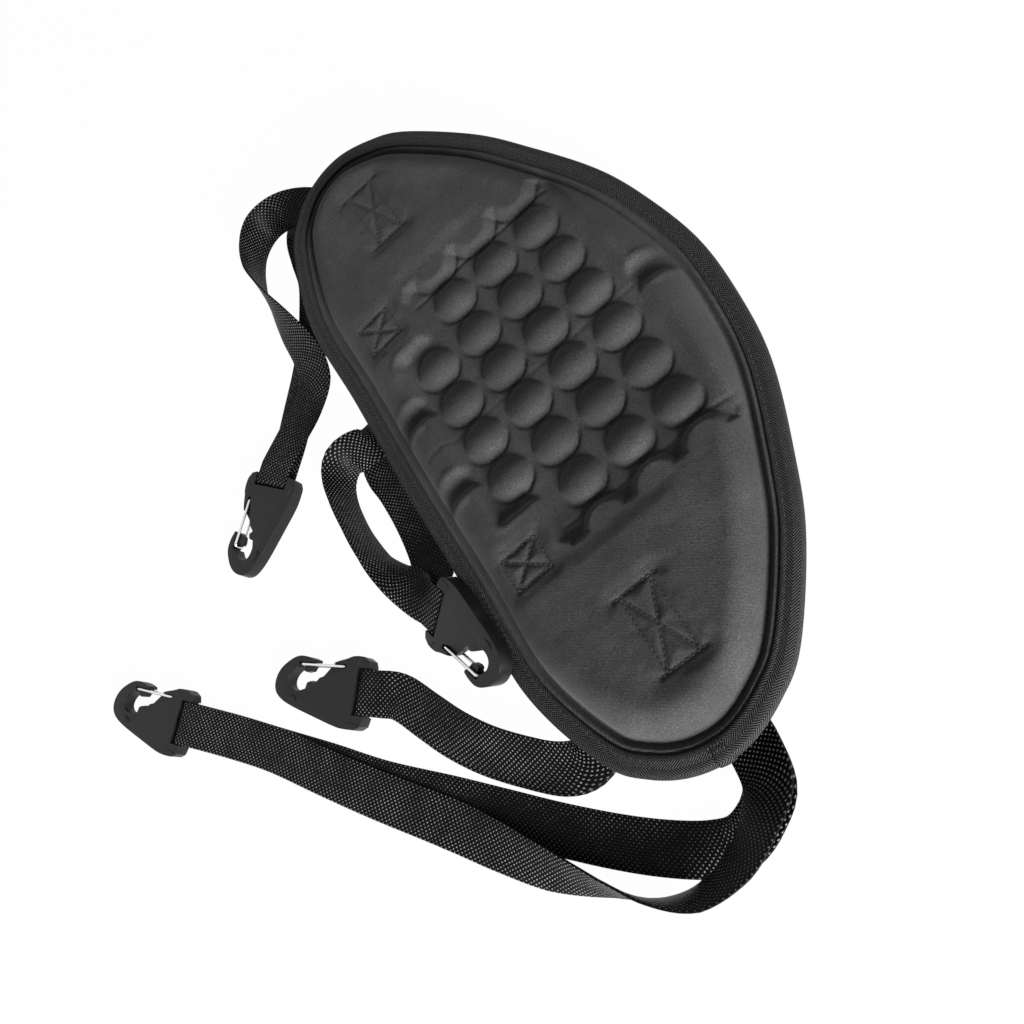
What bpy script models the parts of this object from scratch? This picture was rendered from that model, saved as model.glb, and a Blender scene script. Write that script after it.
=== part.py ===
"""Kayak back band: a moulded foam back rest with four webbing straps and snap hooks.

The pad lies on its back with its domed face up. +X runs along the pad's length, +Y to its
arched top edge and +Z up, out of the domed face. The origin is on the floor, under the
middle of the pad. All sizes are in metres and all angles in degrees.
"""
import math

import bmesh
import bpy
import numpy as np
from mathutils import Matrix, Vector
from mathutils.geometry import delaunay_2d_cdt

# Clearance between pieces that touch
GAP = 0.0003

# Pad outline, measured to the outer edge of the binding
PAD_HALF_LENGTH = 0.2208
PAD_TOP = 0.1044
PAD_BOTTOM = 0.1020
# Right half of the outline as shares of the half length and of the top or bottom reach
OUTLINE_SHAPE = [
    (0.0, 1.0), (0.2, 0.954), (0.367, 0.865), (0.558, 0.684), (0.72, 0.497), (0.897, 0.198),
    (0.963, 0.0), (0.999, -0.226), (0.989, -0.456), (0.9375, -0.659), (0.848, -0.818),
    (0.62, -0.976), (0.33, -0.986), (0.0, -1.0),
]
OUTLINE_STEPS = 5
# The pad's ends rise towards the user, and its middle is flat
END_RISE = 0.0145
FLAT_HALF = 0.012

# Heights of the pad's section
BACK_BULGE = 0.0110
BACK_THICKNESS = 0.0050
FLANGE_THICKNESS = 0.0024
FLANGE_WIDTH = 0.0090
BACK_SLOPE = 0.0450
FRONT_SLOPE = 0.0200
PLATEAU_HEIGHT = 0.0295
RECESS_DEPTH = 0.0045
WALL_WIDTH = 0.0060

# Massage domes on a lattice, and half domes on the lobes' inner sides
DOME_PITCH_X = 0.0282
DOME_PITCH_Y = 0.0300
DOME_RADIUS = 0.0126
DOME_HEIGHT = 0.0050
SIDE_DOME_X = 0.0995

# Moulded recess: its right half, from the channel between the top blocks down to the middle block
CHANNEL_HALF = 0.0060
CHANNEL_TOP = 0.0900
RECESS_TOP = 0.0660
RECESS_HALF = 0.1000
STEP_Y = -0.0390
STEP_X = 0.0615
RECESS_BOTTOM = -0.0615
NOTCH_OUTER = 0.0320
NOTCH_INNER = 0.0216
NOTCH_BOTTOM = -0.0870
RECESS_CORNER = 0.0040

# Stiffener sheet between the two panels
STIFFENER_THICKNESS = 0.0020
STIFFENER_LENGTH_SHARE = 0.58
STIFFENER_WIDTH_SHARE = 0.40

# Binding tape folded round the pad's edge
BINDING_WRAP = 0.0035
BINDING_REACH = 0.0070
BINDING_THICKNESS = 0.0013

# Webbing
WEBBING_WIDTH = 0.0250
WEBBING_THICKNESS = 0.0013
WEBBING_SHORT_RUN = 0.0070
WEBBING_LONG_RUN = 0.0240

# Box stitched anchors on the pad's back: the outer pair and the inner pair
OUTER_ANCHOR_X = 0.1560
OUTER_ANCHOR_Y = -0.0225
OUTER_ANCHOR_LENGTH = 0.0420
INNER_ANCHOR_X = 0.0885
INNER_ANCHOR_Y = -0.0610
INNER_ANCHOR_LENGTH = 0.0240

# Snap hook body, in its own frame: x from the slot line to the nose, spine on +y, gate on -y
HOOK_THICKNESS = 0.0080
HOOK_SLOT_DEPTH = 0.0044
HOOK_BAR_DEPTH = 0.0040
HOOK_BAR_THICKNESS = 0.0044
HOOK_EAR = 0.0060
HOOK_EDGE_ROUND = 0.0010
HOOK_PIVOT = (0.0096, -0.0130)
HOOK_WIRE_TIP = (0.0400, -0.0126)

# Wire gate
WIRE_DIAMETER = 0.0018
WIRE_BEND = 0.0015
GATE_OPENING = 20.0

# Tri-glide adjuster
GLIDE_BAR = 0.0016
GLIDE_PITCH = 0.0105
GLIDE_SIDE = 0.0030

# Colours, linear
FOAM_GREY = (0.050, 0.050, 0.052, 1.0)
BLACK = (0.012, 0.012, 0.013, 1.0)
PLASTIC = (0.018, 0.018, 0.019, 1.0)
STEEL = (0.60, 0.60, 0.60, 1.0)
NATURAL_SHEET = (0.55, 0.55, 0.52, 1.0)


def clear_scene():
    """Removes every object so that the script can be run again."""
    for old in list(bpy.data.objects):
        bpy.data.objects.remove(old)


def material(name, colour, roughness, metallic=0.0):
    """A Principled BSDF with one colour."""
    made = bpy.data.materials.new(name)
    made.use_nodes = True
    shader = made.node_tree.nodes["Principled BSDF"]
    shader.inputs["Base Color"].default_value = colour
    shader.inputs["Roughness"].default_value = roughness
    shader.inputs["Metallic"].default_value = metallic
    return made


def add_object(name, mesh, surface):
    """Links a mesh to the scene as a named object with its material."""
    made = bpy.data.objects.new(name, mesh)
    mesh.materials.append(surface)
    bpy.context.scene.collection.objects.link(made)
    return made


def mesh_from(name, verts, faces):
    """A mesh from points and faces, with its faces turned outwards."""
    mesh = bpy.data.meshes.new(name)
    mesh.from_pydata([tuple(v) for v in verts], [], faces)
    work = bmesh.new()
    work.from_mesh(mesh)
    bmesh.ops.recalc_face_normals(work, faces=work.faces)
    work.to_mesh(mesh)
    work.free()
    return mesh


# Plane curves

def catmull(a, b, c, d, t):
    """A point of the smooth curve between b and c."""
    return 0.5 * ((2 * b) + (c - a) * t + (2 * a - 5 * b + 4 * c - d) * t ** 2
                  + (3 * b - a - 3 * c + d) * t ** 3)


def pad_outline():
    """The pad's closed outline as a smooth curve, clockwise from the middle of the top edge."""
    right = []
    for across, along in OUTLINE_SHAPE:
        reach = PAD_TOP if along > 0 else PAD_BOTTOM
        right.append(np.array([across * PAD_HALF_LENGTH, along * reach]))
    left = [np.array([-p[0], p[1]]) for p in reversed(right[1:-1])]
    ring = right + left
    count = len(ring)
    loop = []
    for i in range(count):
        a, b, c, d = (ring[(i + k) % count] for k in (-1, 0, 1, 2))
        for step in range(OUTLINE_STEPS):
            loop.append(catmull(a, b, c, d, step / OUTLINE_STEPS))
    return np.array(loop)


def inset_loop(loop, distance):
    """The clockwise loop moved inwards by a distance."""
    ahead = np.roll(loop, -1, axis=0)
    behind = np.roll(loop, 1, axis=0)
    along = ahead - behind
    along /= np.linalg.norm(along, axis=1)[:, None]
    inward = np.stack([along[:, 1], -along[:, 0]], 1)
    return loop + inward * distance


def rounded_polygon(corners, radius, spacing, offset):
    """Points round a polygon with rounded corners, moved by an offset to its right."""
    count = len(corners)
    points = []
    for i in range(count):
        corner = np.array(corners[i])
        before = np.array(corners[i - 1]) - corner
        after = np.array(corners[(i + 1) % count]) - corner
        before /= np.linalg.norm(before)
        after /= np.linalg.norm(after)
        start = corner + before * radius
        end = corner + after * radius
        for t in (0.0, 0.5, 1.0):
            point = (1 - t) ** 2 * start + 2 * t * (1 - t) * corner + t ** 2 * end
            tangent = (1 - t) * (corner - start) + t * (end - corner)
            tangent /= np.linalg.norm(tangent)
            points.append(point + offset * np.array([tangent[1], -tangent[0]]))
        following = np.array(corners[(i + 1) % count]) - after * radius
        run = np.linalg.norm(following - end)
        steps = max(1, round(run / spacing))
        side = offset * np.array([after[1], -after[0]])
        for k in range(1, steps):
            points.append(end + (following - end) * k / steps + side)
    return np.array(points)


def signed_depth(points, loop):
    """How far each point lies inside a closed loop; negative outside."""
    points = np.asarray(points, float).reshape(-1, 2)
    start = loop
    end = np.roll(loop, -1, axis=0)
    edge = end - start
    offset = points[:, None, :] - start[None]
    share = np.clip((offset * edge).sum(2) / (edge ** 2).sum(1), 0, 1)
    nearest = np.linalg.norm(offset - share[..., None] * edge, axis=2).min(1)
    above = start[None, :, 1] > points[:, None, 1]
    above_end = end[None, :, 1] > points[:, None, 1]
    rise_y = np.where(np.abs(edge[:, 1]) < 1e-12, 1e-12, edge[:, 1])
    cross_x = start[:, 0] + (points[:, None, 1] - start[:, 1]) * edge[:, 0] / rise_y
    crossings = ((above != above_end) & (points[:, None, 0] < cross_x)).sum(1)
    return np.where(crossings % 2 == 1, nearest, -nearest)


def smooth(t):
    """A soft step from 0 to 1."""
    t = np.clip(t, 0, 1)
    return t * t * (3 - 2 * t)


# Pad surfaces

OUTLINE = pad_outline()
FLANGE_LOOP = inset_loop(OUTLINE, BINDING_WRAP)
RECESS_RIGHT = [
    (CHANNEL_HALF, CHANNEL_TOP), (CHANNEL_HALF, RECESS_TOP), (RECESS_HALF, RECESS_TOP),
    (RECESS_HALF, STEP_Y), (STEP_X, STEP_Y), (STEP_X, RECESS_BOTTOM),
    (NOTCH_OUTER, RECESS_BOTTOM), (NOTCH_OUTER, NOTCH_BOTTOM), (NOTCH_INNER, NOTCH_BOTTOM),
    (NOTCH_INNER, RECESS_BOTTOM),
]
RECESS_CORNERS = RECESS_RIGHT + [(-x, y) for x, y in reversed(RECESS_RIGHT)]
RECESS_LOOP = rounded_polygon(RECESS_CORNERS, RECESS_CORNER, WALL_WIDTH, 0.0)
FLANGE_TOP = BACK_BULGE + 2 * FLANGE_THICKNESS + GAP


def rise(x):
    """How far the pad is bent up at a place along its length."""
    reach = np.maximum(0, np.abs(x) - FLAT_HALF) / (PAD_HALF_LENGTH - FLAT_HALF)
    return END_RISE * reach ** 2


def back_under(points):
    """Height of the back panel's outer face."""
    depth = signed_depth(points, FLANGE_LOOP)
    return rise(points[:, 0]) + BACK_BULGE * (1 - smooth((depth - FLANGE_WIDTH) / BACK_SLOPE))


def back_top(points):
    """Height of the back panel's inner face."""
    depth = signed_depth(points, FLANGE_LOOP)
    extra = (BACK_THICKNESS - FLANGE_THICKNESS) * smooth((depth - FLANGE_WIDTH) / BACK_SLOPE)
    return back_under(points) + FLANGE_THICKNESS + extra


def front_under(points):
    """Height of the front panel's inner face."""
    return back_top(points) + GAP


def dome_centres():
    """Centres of the domes: three full rows, a short row and the half domes at the sides."""
    centres = []
    for row, columns in ((1.5, 6), (0.5, 6), (-0.5, 6), (-1.5, 4)):
        for k in range(columns):
            centres.append(((k - (columns - 1) / 2) * DOME_PITCH_X, row * DOME_PITCH_Y))
        if columns == 6:
            centres.append((SIDE_DOME_X, row * DOME_PITCH_Y))
            centres.append((-SIDE_DOME_X, row * DOME_PITCH_Y))
    return np.array(centres)


def front_top(points):
    """Height of the moulded front: flange, side slope, lobes, recess and domes."""
    depth = signed_depth(points, FLANGE_LOOP)
    side = np.sin(np.clip((depth - FLANGE_WIDTH) / FRONT_SLOPE, 0, 1) * math.pi / 2) ** 1.2
    inside = signed_depth(points, RECESS_LOOP)
    sunk = RECESS_DEPTH * smooth(inside / WALL_WIDTH + 0.5)
    lift = PLATEAU_HEIGHT - FLANGE_TOP
    for centre in dome_centres():
        radius = np.linalg.norm(points - centre, axis=1) / DOME_RADIUS
        cap = DOME_HEIGHT * np.clip(1 - radius ** 2, 0, 1) ** 0.7
        sunk = np.minimum(sunk, np.where(radius < 1, RECESS_DEPTH - cap, sunk))
    return rise(points[:, 0]) + FLANGE_TOP + (lift - sunk) * side


class PointSet:
    """Plane points that keep a least distance from each other."""

    def __init__(self, spacing):
        self.spacing = spacing
        self.points = []
        self.cells = {}

    def add(self, point, spacing=None):
        limit = spacing or self.spacing
        size = self.spacing
        reach = math.ceil(limit / size)
        cell = (math.floor(point[0] / size), math.floor(point[1] / size))
        for i in range(-reach, reach + 1):
            for j in range(-reach, reach + 1):
                for other in self.cells.get((cell[0] + i, cell[1] + j), ()):
                    if math.dist(other, point) < limit:
                        return
        self.cells.setdefault(cell, []).append(tuple(point))
        self.points.append(tuple(point))


def fill_grid(found, loop, pitch, margin):
    """Fills the loop's inside with a staggered grid, away from the points that are there."""
    low = loop.min(0)
    high = loop.max(0)
    rows = int((high[1] - low[1]) / pitch)
    columns = int((high[0] - low[0]) / pitch)
    grid = []
    for j in range(rows + 1):
        for i in range(-columns // 2, columns // 2 + 1):
            grid.append(((i + 0.5 * (j % 2)) * pitch, low[1] + j * pitch))
    grid = np.array(grid)
    for point in grid[signed_depth(grid, loop) > margin]:
        found.add(point, pitch * 0.6)


def front_points():
    """Points of the moulded front, set along its slopes, walls and domes."""
    found = PointSet(0.0024)
    for place in FLANGE_LOOP:
        found.add(place)
    edge_count = len(found.points)
    for share, every in ((0.0, 1), (0.2, 1), (0.45, 2), (0.72, 2), (1.05, 2)):
        ring = inset_loop(FLANGE_LOOP, FLANGE_WIDTH + share * FRONT_SLOPE)
        for place in ring[::every]:
            found.add(place)
    inner = inset_loop(FLANGE_LOOP, FLANGE_WIDTH + 0.2 * FRONT_SLOPE)
    for offset in (-WALL_WIDTH / 2, 0.0, WALL_WIDTH / 2):
        ring = rounded_polygon(RECESS_CORNERS, RECESS_CORNER, 0.0075, offset)
        for place in ring[signed_depth(ring, inner) > 0]:
            found.add(place)
    for centre in dome_centres():
        for share, sides in ((1.0, 12), (0.86, 12), (0.5, 7), (0.0, 1)):
            for k in range(sides):
                turn = math.tau * (k + share) / sides
                spoke = np.array([math.cos(turn), math.sin(turn)])
                found.add(centre + spoke * DOME_RADIUS * share)
    fill_grid(found, FLANGE_LOOP, 0.0130, FLANGE_WIDTH)
    return np.array(found.points), edge_count


def plain_points(loop):
    """Points of a panel's plain face, set along its turned up edge."""
    found = PointSet(0.0030)
    for place in loop:
        found.add(place)
    edge_count = len(found.points)
    for share, every in ((0.0, 1), (0.25, 2), (0.5, 2), (0.75, 2), (1.0, 2)):
        ring = inset_loop(loop, FLANGE_WIDTH + share * BACK_SLOPE)
        for place in ring[::every]:
            found.add(place)
    fill_grid(found, loop, 0.0240, FLANGE_WIDTH + BACK_SLOPE)
    return np.array(found.points), edge_count


def triangulate(points, edge_count):
    """Triangles that join the points inside the loop of the first edge_count points."""
    flat = [Vector(p) for p in points]
    edges = [(i, (i + 1) % edge_count) for i in range(edge_count)]
    out, _, faces, origin, _, _ = delaunay_2d_cdt(flat, edges, [], 1, 1e-7)
    source = [ids[0] for ids in origin]
    return [tuple(source[v] for v in face) for face in faces]


def panel(name, upper, lower, upper_height, lower_height, surface):
    """A closed sheet between two faces that share their outline."""
    (top, edge_count), (bottom, _) = upper, lower
    top_z = upper_height(top)
    bottom_z = lower_height(bottom)
    verts = [(x, y, z) for (x, y), z in zip(top, top_z)]
    verts += [(x, y, z) for (x, y), z in zip(bottom, bottom_z)]
    start = len(top)
    faces = triangulate(top, edge_count)
    faces += [tuple(start + v for v in reversed(f)) for f in triangulate(bottom, edge_count)]
    for i in range(edge_count):
        j = (i + 1) % edge_count
        faces.append((i, j, start + j, start + i))
    return add_object(name, mesh_from(name, verts, faces), surface)


def stiffener_height(points):
    """Height of the stiffener's lower face, which lies on the back panel."""
    return rise(points[:, 0]) + BACK_THICKNESS + GAP


def stiffener_points(margin):
    """Points of the stiffener sheet's outline and face, or of its pocket with a margin."""
    loop = FLANGE_LOOP * np.array([STIFFENER_LENGTH_SHARE, STIFFENER_WIDTH_SHARE])
    loop = inset_loop(loop, -margin)
    found = PointSet(0.0030)
    for place in loop[::2]:
        found.add(place)
    edge_count = len(found.points)
    fill_grid(found, np.array(found.points), 0.0240, 0.0120)
    return np.array(found.points), edge_count


def cut(target, cutter):
    """Cuts one object out of another and hides the cutter."""
    cutter.hide_render = True
    cutter.display_type = "WIRE"
    change = target.modifiers.new("cut_" + cutter.name, "BOOLEAN")
    change.operation = "DIFFERENCE"
    change.object = cutter
    change.solver = "EXACT"


def build_pad(foam, fabric, sheet):
    """Front panel, stiffener and back panel, stacked with a small gap."""
    plain = plain_points(FLANGE_LOOP)
    front = panel("front_panel", front_points(), plain, front_top, front_under, foam)
    panel("back_panel", plain, plain, back_top, back_under, fabric)
    place = stiffener_points(0.0)
    panel("stiffener", place, place, lambda p: stiffener_height(p) + STIFFENER_THICKNESS,
          stiffener_height, sheet)
    pocket = stiffener_points(GAP)
    room = STIFFENER_THICKNESS + GAP
    cutter = panel("stiffener_pocket", pocket, pocket, lambda p: stiffener_height(p) + room,
                   lambda p: stiffener_height(p) - STIFFENER_THICKNESS, sheet)
    cut(front, cutter)


def build_binding(tape):
    """Tape folded round the flange: a U section swept round the pad's outline."""
    half = FLANGE_THICKNESS + GAP / 2
    middle = BACK_BULGE + half
    inner = half + GAP
    outer = inner + BINDING_THICKNESS
    edge = BINDING_WRAP - BINDING_THICKNESS
    section = [
        (-BINDING_REACH, outer), (-0.2 * BINDING_REACH, outer), (0.6 * BINDING_WRAP, 0.7 * outer),
        (BINDING_WRAP, 0.0), (0.6 * BINDING_WRAP, -0.7 * outer), (-0.2 * BINDING_REACH, -outer),
        (-BINDING_REACH, -outer), (-BINDING_REACH, -inner), (GAP, -inner),
        (0.45 * edge, 0.0), (GAP, inner), (-BINDING_REACH, inner),
    ]
    verts = []
    outward = FLANGE_LOOP - inset_loop(FLANGE_LOOP, 1.0)
    for place, side in zip(FLANGE_LOOP, outward):
        for across, up in section:
            x, y = place + side * across
            verts.append((x, y, middle + float(rise(x)) + up))
    size = len(section)
    count = len(FLANGE_LOOP)
    faces = []
    for i in range(count):
        for k in range(size):
            a = i * size + k
            b = i * size + (k + 1) % size
            c = (i + 1) % count * size + (k + 1) % size
            d = (i + 1) % count * size + k
            faces.append((a, b, c, d))
    add_object("edge_binding", mesh_from("edge_binding", verts, faces), tape)


# Frames of the hooks and the tri-glides

def frame(x, y, z, heading, pitch=0.0, roll=0.0):
    """A frame whose x axis points along a heading, raised by a pitch and turned by a roll."""
    turn = Matrix.Rotation(math.radians(heading), 4, "Z")
    turn = turn @ Matrix.Rotation(math.radians(-pitch), 4, "Y")
    turn = turn @ Matrix.Rotation(math.radians(roll), 4, "X")
    return Matrix.Translation((x, y, z)) @ turn


HALF_HOOK = HOOK_THICKNESS / 2
HOOK_FRAMES = {
    "outer_right": frame(0.0090, -0.3040, HALF_HOOK, -136.0),
    "inner_right": frame(0.0705, -0.1880, HALF_HOOK, -130.0),
    "outer_left": frame(-0.0770, -0.1800, HALF_HOOK, -50.0),
    "inner_left": frame(0.0740, -PAD_BOTTOM - 0.0150, 0.0150, 20.0, 14.0, 24.0),
}
GLIDE_HEIGHT = 0.0044
GLIDE_FRAMES = {
    "outer_right": frame(0.1975, -0.0250, GLIDE_HEIGHT, 0.0),
    "inner_right": frame(0.1500, -0.0720, GLIDE_HEIGHT, -25.0),
    "outer_left": frame(-0.1990, -0.0380, GLIDE_HEIGHT, -150.0),
    "inner_left": frame(-0.0668, -0.0848, GLIDE_HEIGHT, -50.0),
}


# Snap hooks

def hook_outline():
    """Outline of the hook body: gate side, inside of the eye, catch, nose and spine."""
    half_slot = WEBBING_WIDTH / 2 + 2 * GAP
    rear = -HOOK_SLOT_DEPTH - HOOK_BAR_DEPTH
    ear = half_slot + HOOK_EAR
    gate_side = [
        (rear, -half_slot - 0.0010), (rear + 0.0012, -ear + 0.0020), (-0.0035, -ear),
        (0.0033, -ear), (0.0080, -0.0174), (0.0140, -0.0156), (0.0184, -0.0136),
        (0.0194, -0.0122), (0.0286, -0.0016),
    ]
    eye = [
        (0.0311, -0.0039), (0.0335, -0.0022), (0.0341, 0.0009), (0.0380, 0.0023),
        (0.0425, 0.0022), (0.0458, 0.0006), (0.0472, -0.0022), (0.0466, -0.0056),
        (0.0444, -0.0086), (0.0418, -0.0108),
    ]
    catch = [
        (0.0416, -0.0140), (0.0384, -0.0140), (0.0384, -0.0090), (0.0365, -0.0084),
        (0.0330, -0.0092), (0.0309, -0.0132), (0.0310, -0.0157),
    ]
    nose = [
        (0.0348, -0.0168), (0.0402, -0.0173), (0.0445, -0.0163), (0.0486, -0.0139),
        (0.0524, -0.0107), (0.0549, -0.0072), (0.0562, -0.0032), (0.0562, 0.0007),
        (0.0548, 0.0041), (0.0520, 0.0068), (0.0476, 0.0092), (0.0414, 0.0114),
    ]
    spine = [
        (0.0336, 0.0136), (0.0223, 0.0166), (0.0135, 0.0189), (0.0068, 0.0203),
        (0.0004, ear + 0.0015), (-0.0045, ear + 0.0010), (rear + 0.0010, ear - 0.0010),
        (rear, half_slot + 0.0010),
    ]
    return gate_side + eye + catch + nose + spine


def prism(name, outline, low, high, surface):
    """A straight prism over an outline."""
    count = len(outline)
    verts = [(x, y, low) for x, y in outline] + [(x, y, high) for x, y in outline]
    faces = [tuple(range(count))[::-1], tuple(range(count, 2 * count))]
    for i in range(count):
        j = (i + 1) % count
        faces.append((i, j, count + j, count + i))
    return add_object(name, mesh_from(name, verts, faces), surface)


def box_outline(x_low, x_high, y_low, y_high):
    """Corners of a rectangle."""
    return [(x_low, y_low), (x_high, y_low), (x_high, y_high), (x_low, y_high)]


def gate_sweep():
    """The area that the gate's legs sweep, with a margin."""
    margin = WIRE_DIAMETER / 2 + GAP + 0.0002
    pivot = np.array(HOOK_PIVOT)
    along = np.array(HOOK_WIRE_TIP) - pivot
    reach = np.linalg.norm(along) + margin
    start = math.atan2(along[1], along[0])
    end = start + math.radians(GATE_OPENING)
    points = []
    for turn, side in ((start, -1), (end, 1)):
        spoke = np.array([math.cos(turn), math.sin(turn)])
        normal = np.array([-spoke[1], spoke[0]]) * side * margin
        near = pivot + normal - spoke * margin
        far = pivot + normal + spoke * reach
        points += [near, far] if side < 0 else [far, near]
    middle = (start + end) / 2
    points.insert(2, pivot + np.array([math.cos(middle), math.sin(middle)]) * (reach + 0.0004))
    return points


def hook_mesh(plastic):
    """The hook body's mesh, made once and shared by the four hooks."""
    body = prism("hook_blank", hook_outline(), -HALF_HOOK, HALF_HOOK, plastic)
    edges = body.modifiers.new("round", "BEVEL")
    edges.width = HOOK_EDGE_ROUND
    edges.segments = 2
    edges.limit_method = "ANGLE"
    edges.angle_limit = math.radians(60)
    half_slot = WEBBING_WIDTH / 2 + 2 * GAP
    slot = box_outline(-HOOK_SLOT_DEPTH, -0.0002, -half_slot, half_slot)
    tools = [prism("slot_cutter", slot, -HOOK_THICKNESS, HOOK_THICKNESS, plastic)]
    lane = box_outline(-0.0200, -HOOK_SLOT_DEPTH + 0.0001, -half_slot, half_slot)
    floor_z = WIRE_DIAMETER / 2 + GAP
    leg = HALF_HOOK - WIRE_DIAMETER / 2
    sweep = gate_sweep()
    for side in (1, -1):
        bar = side * HOOK_BAR_THICKNESS / 2
        far = side * HOOK_THICKNESS
        tools.append(prism(f"lane_cutter_{side}", lane, min(bar, far), max(bar, far), plastic))
        near = side * (leg - floor_z)
        tools.append(prism(f"sweep_cutter_{side}", sweep, min(near, far), max(near, far), plastic))
    radius = WIRE_DIAMETER / 2 + GAP
    hole = [(HOOK_PIVOT[0] + radius * math.cos(math.tau * k / 8),
             HOOK_PIVOT[1] + radius * math.sin(math.tau * k / 8)) for k in range(8)]
    tools.append(prism("pivot_cutter", hole, -HOOK_THICKNESS, HOOK_THICKNESS, plastic))
    for tool in tools:
        cut(body, tool)
    bpy.context.view_layer.update()
    ready = body.evaluated_get(bpy.context.evaluated_depsgraph_get())
    mesh = bpy.data.meshes.new_from_object(ready)
    for used in [body] + tools:
        bpy.data.objects.remove(used)
    return mesh


def gate_path():
    """Centre line of the gate's wire: two legs joined by a cross bar at the nose."""
    leg = HALF_HOOK - WIRE_DIAMETER / 2
    pivot = Vector((*HOOK_PIVOT, 0.0))
    tip = Vector((*HOOK_WIRE_TIP, 0.0))
    along = (tip - pivot).normalized()
    up = Vector((0, 0, leg))
    bend = WIRE_BEND
    lift = Vector((0, 0, bend))
    half = [pivot + Vector((0, 0, 0.0004)), pivot + up - lift, pivot + up - lift * 0.3
            + along * bend * 0.3, pivot + up + along * bend, tip + up - along * bend,
            tip + up - lift * 0.3 - along * bend * 0.3, tip + up - lift]
    other = [Vector((p.x, p.y, -p.z)) for p in reversed(half)]
    return half + other


def wire(name, points, across, diameter, surface):
    """A round wire along a flat line of points; across is square to the line's plane."""
    sides = 8
    count = len(points)
    verts = []
    for i, point in enumerate(points):
        along = (points[min(i + 1, count - 1)] - points[max(i - 1, 0)]).normalized()
        up = along.cross(across)
        for k in range(sides):
            turn = math.tau * k / sides
            spoke = across * math.cos(turn) + up * math.sin(turn)
            verts.append(point + spoke * diameter / 2)
    faces = [tuple(range(sides)), tuple(range(count * sides - 1, (count - 1) * sides - 1, -1))]
    for i in range(count - 1):
        for k in range(sides):
            a = i * sides + k
            b = i * sides + (k + 1) % sides
            faces.append((a, a + sides, b + sides, b))
    mesh = mesh_from(name, verts, faces)
    mesh.shade_smooth()
    return add_object(name, mesh, surface)


def build_hooks(plastic, steel):
    """Four hook bodies and their wire gates; each gate's origin is on its pivot."""
    shared = hook_mesh(plastic)
    pivot = Vector((*HOOK_PIVOT, 0.0))
    path = [point - pivot for point in gate_path()]
    along = Vector((*HOOK_WIRE_TIP, 0.0)) - pivot
    across = along.cross(Vector((0, 0, 1))).normalized()
    for side, place in HOOK_FRAMES.items():
        body = bpy.data.objects.new("hook_" + side, shared)
        bpy.context.scene.collection.objects.link(body)
        body.matrix_world = place
        gate = wire("gate_" + side, path, across, WIRE_DIAMETER, steel)
        gate.matrix_world = place @ Matrix.Translation(pivot)


# Tri-glides

def build_glides(plastic):
    """Four adjusters: a flat frame with a middle bar that holds the strap's end."""
    half = WEBBING_WIDTH / 2 + 2 * GAP
    side = half + GLIDE_SIDE
    reach = GLIDE_PITCH + GLIDE_BAR / 2 + 0.0010
    outline = box_outline(-reach, reach, -side, side)
    frame_body = prism("glide_blank", outline, -GLIDE_BAR / 2, GLIDE_BAR / 2, plastic)
    tools = []
    inner = GLIDE_PITCH - GLIDE_BAR / 2
    for sign in (1, -1):
        low = min(sign * GLIDE_BAR / 2, sign * inner)
        high = max(sign * GLIDE_BAR / 2, sign * inner)
        window = box_outline(low, high, -half, half)
        tools.append(prism(f"window_{sign}", window, -0.01, 0.01, plastic))
    for tool in tools:
        cut(frame_body, tool)
    bpy.context.view_layer.update()
    ready = frame_body.evaluated_get(bpy.context.evaluated_depsgraph_get())
    mesh = bpy.data.meshes.new_from_object(ready)
    for used in [frame_body] + tools:
        bpy.data.objects.remove(used)
    for name, place in GLIDE_FRAMES.items():
        made = bpy.data.objects.new("triglide_" + name, mesh)
        bpy.context.scene.collection.objects.link(made)
        made.matrix_world = place


# Webbing

HALF_WEB = WEBBING_THICKNESS / 2
LAYER = WEBBING_THICKNESS + GAP
WRAP_RADIUS = GLIDE_BAR * 0.72 + GAP + HALF_WEB


def station(point, width):
    """A place on a strap: its centre and the direction across the webbing."""
    return Vector(point), Vector(width).normalized()


def floor_run(route):
    """Stations of a stretch that lies on the floor, from (x, y, roll, lift) in metres and degrees."""
    made = []
    count = len(route)
    for i, (x, y, roll, lift) in enumerate(route):
        ahead = route[min(i + 1, count - 1)]
        behind = route[max(i - 1, 0)]
        heading = Vector((ahead[0] - behind[0], ahead[1] - behind[1], 0)).normalized()
        left = Vector((-heading.y, heading.x, 0))
        tilt = math.radians(roll)
        height = abs(math.sin(tilt)) * WEBBING_WIDTH / 2 + abs(math.cos(tilt)) * HALF_WEB + GAP
        width = left * math.cos(tilt) + Vector((0, 0, math.sin(tilt)))
        made.append(station((x, y, height + lift), width))
    return made


def in_frame(place, profile):
    """Stations across a frame's y axis, from (x, z) in its own frame."""
    across = place.to_3x3() @ Vector((0, 1, 0))
    return [station(place @ Vector((x, 0, z)), across) for x, z in profile]


def hook_turn(place):
    """The webbing's way in over the hook's rear bar, through the slot and back below the bar."""
    radius = HOOK_BAR_THICKNESS / 2 + GAP + HALF_WEB
    centre = -HOOK_SLOT_DEPTH
    profile = [(-0.0150, radius), (-0.0105, radius)]
    for k in range(9):
        turn = math.radians(90 - 22.5 * k)
        profile.append((centre + radius * math.cos(turn), radius * math.sin(turn)))
    profile += [(-0.0105, -radius), (-0.0150, -radius)]
    return in_frame(place, profile)


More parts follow.
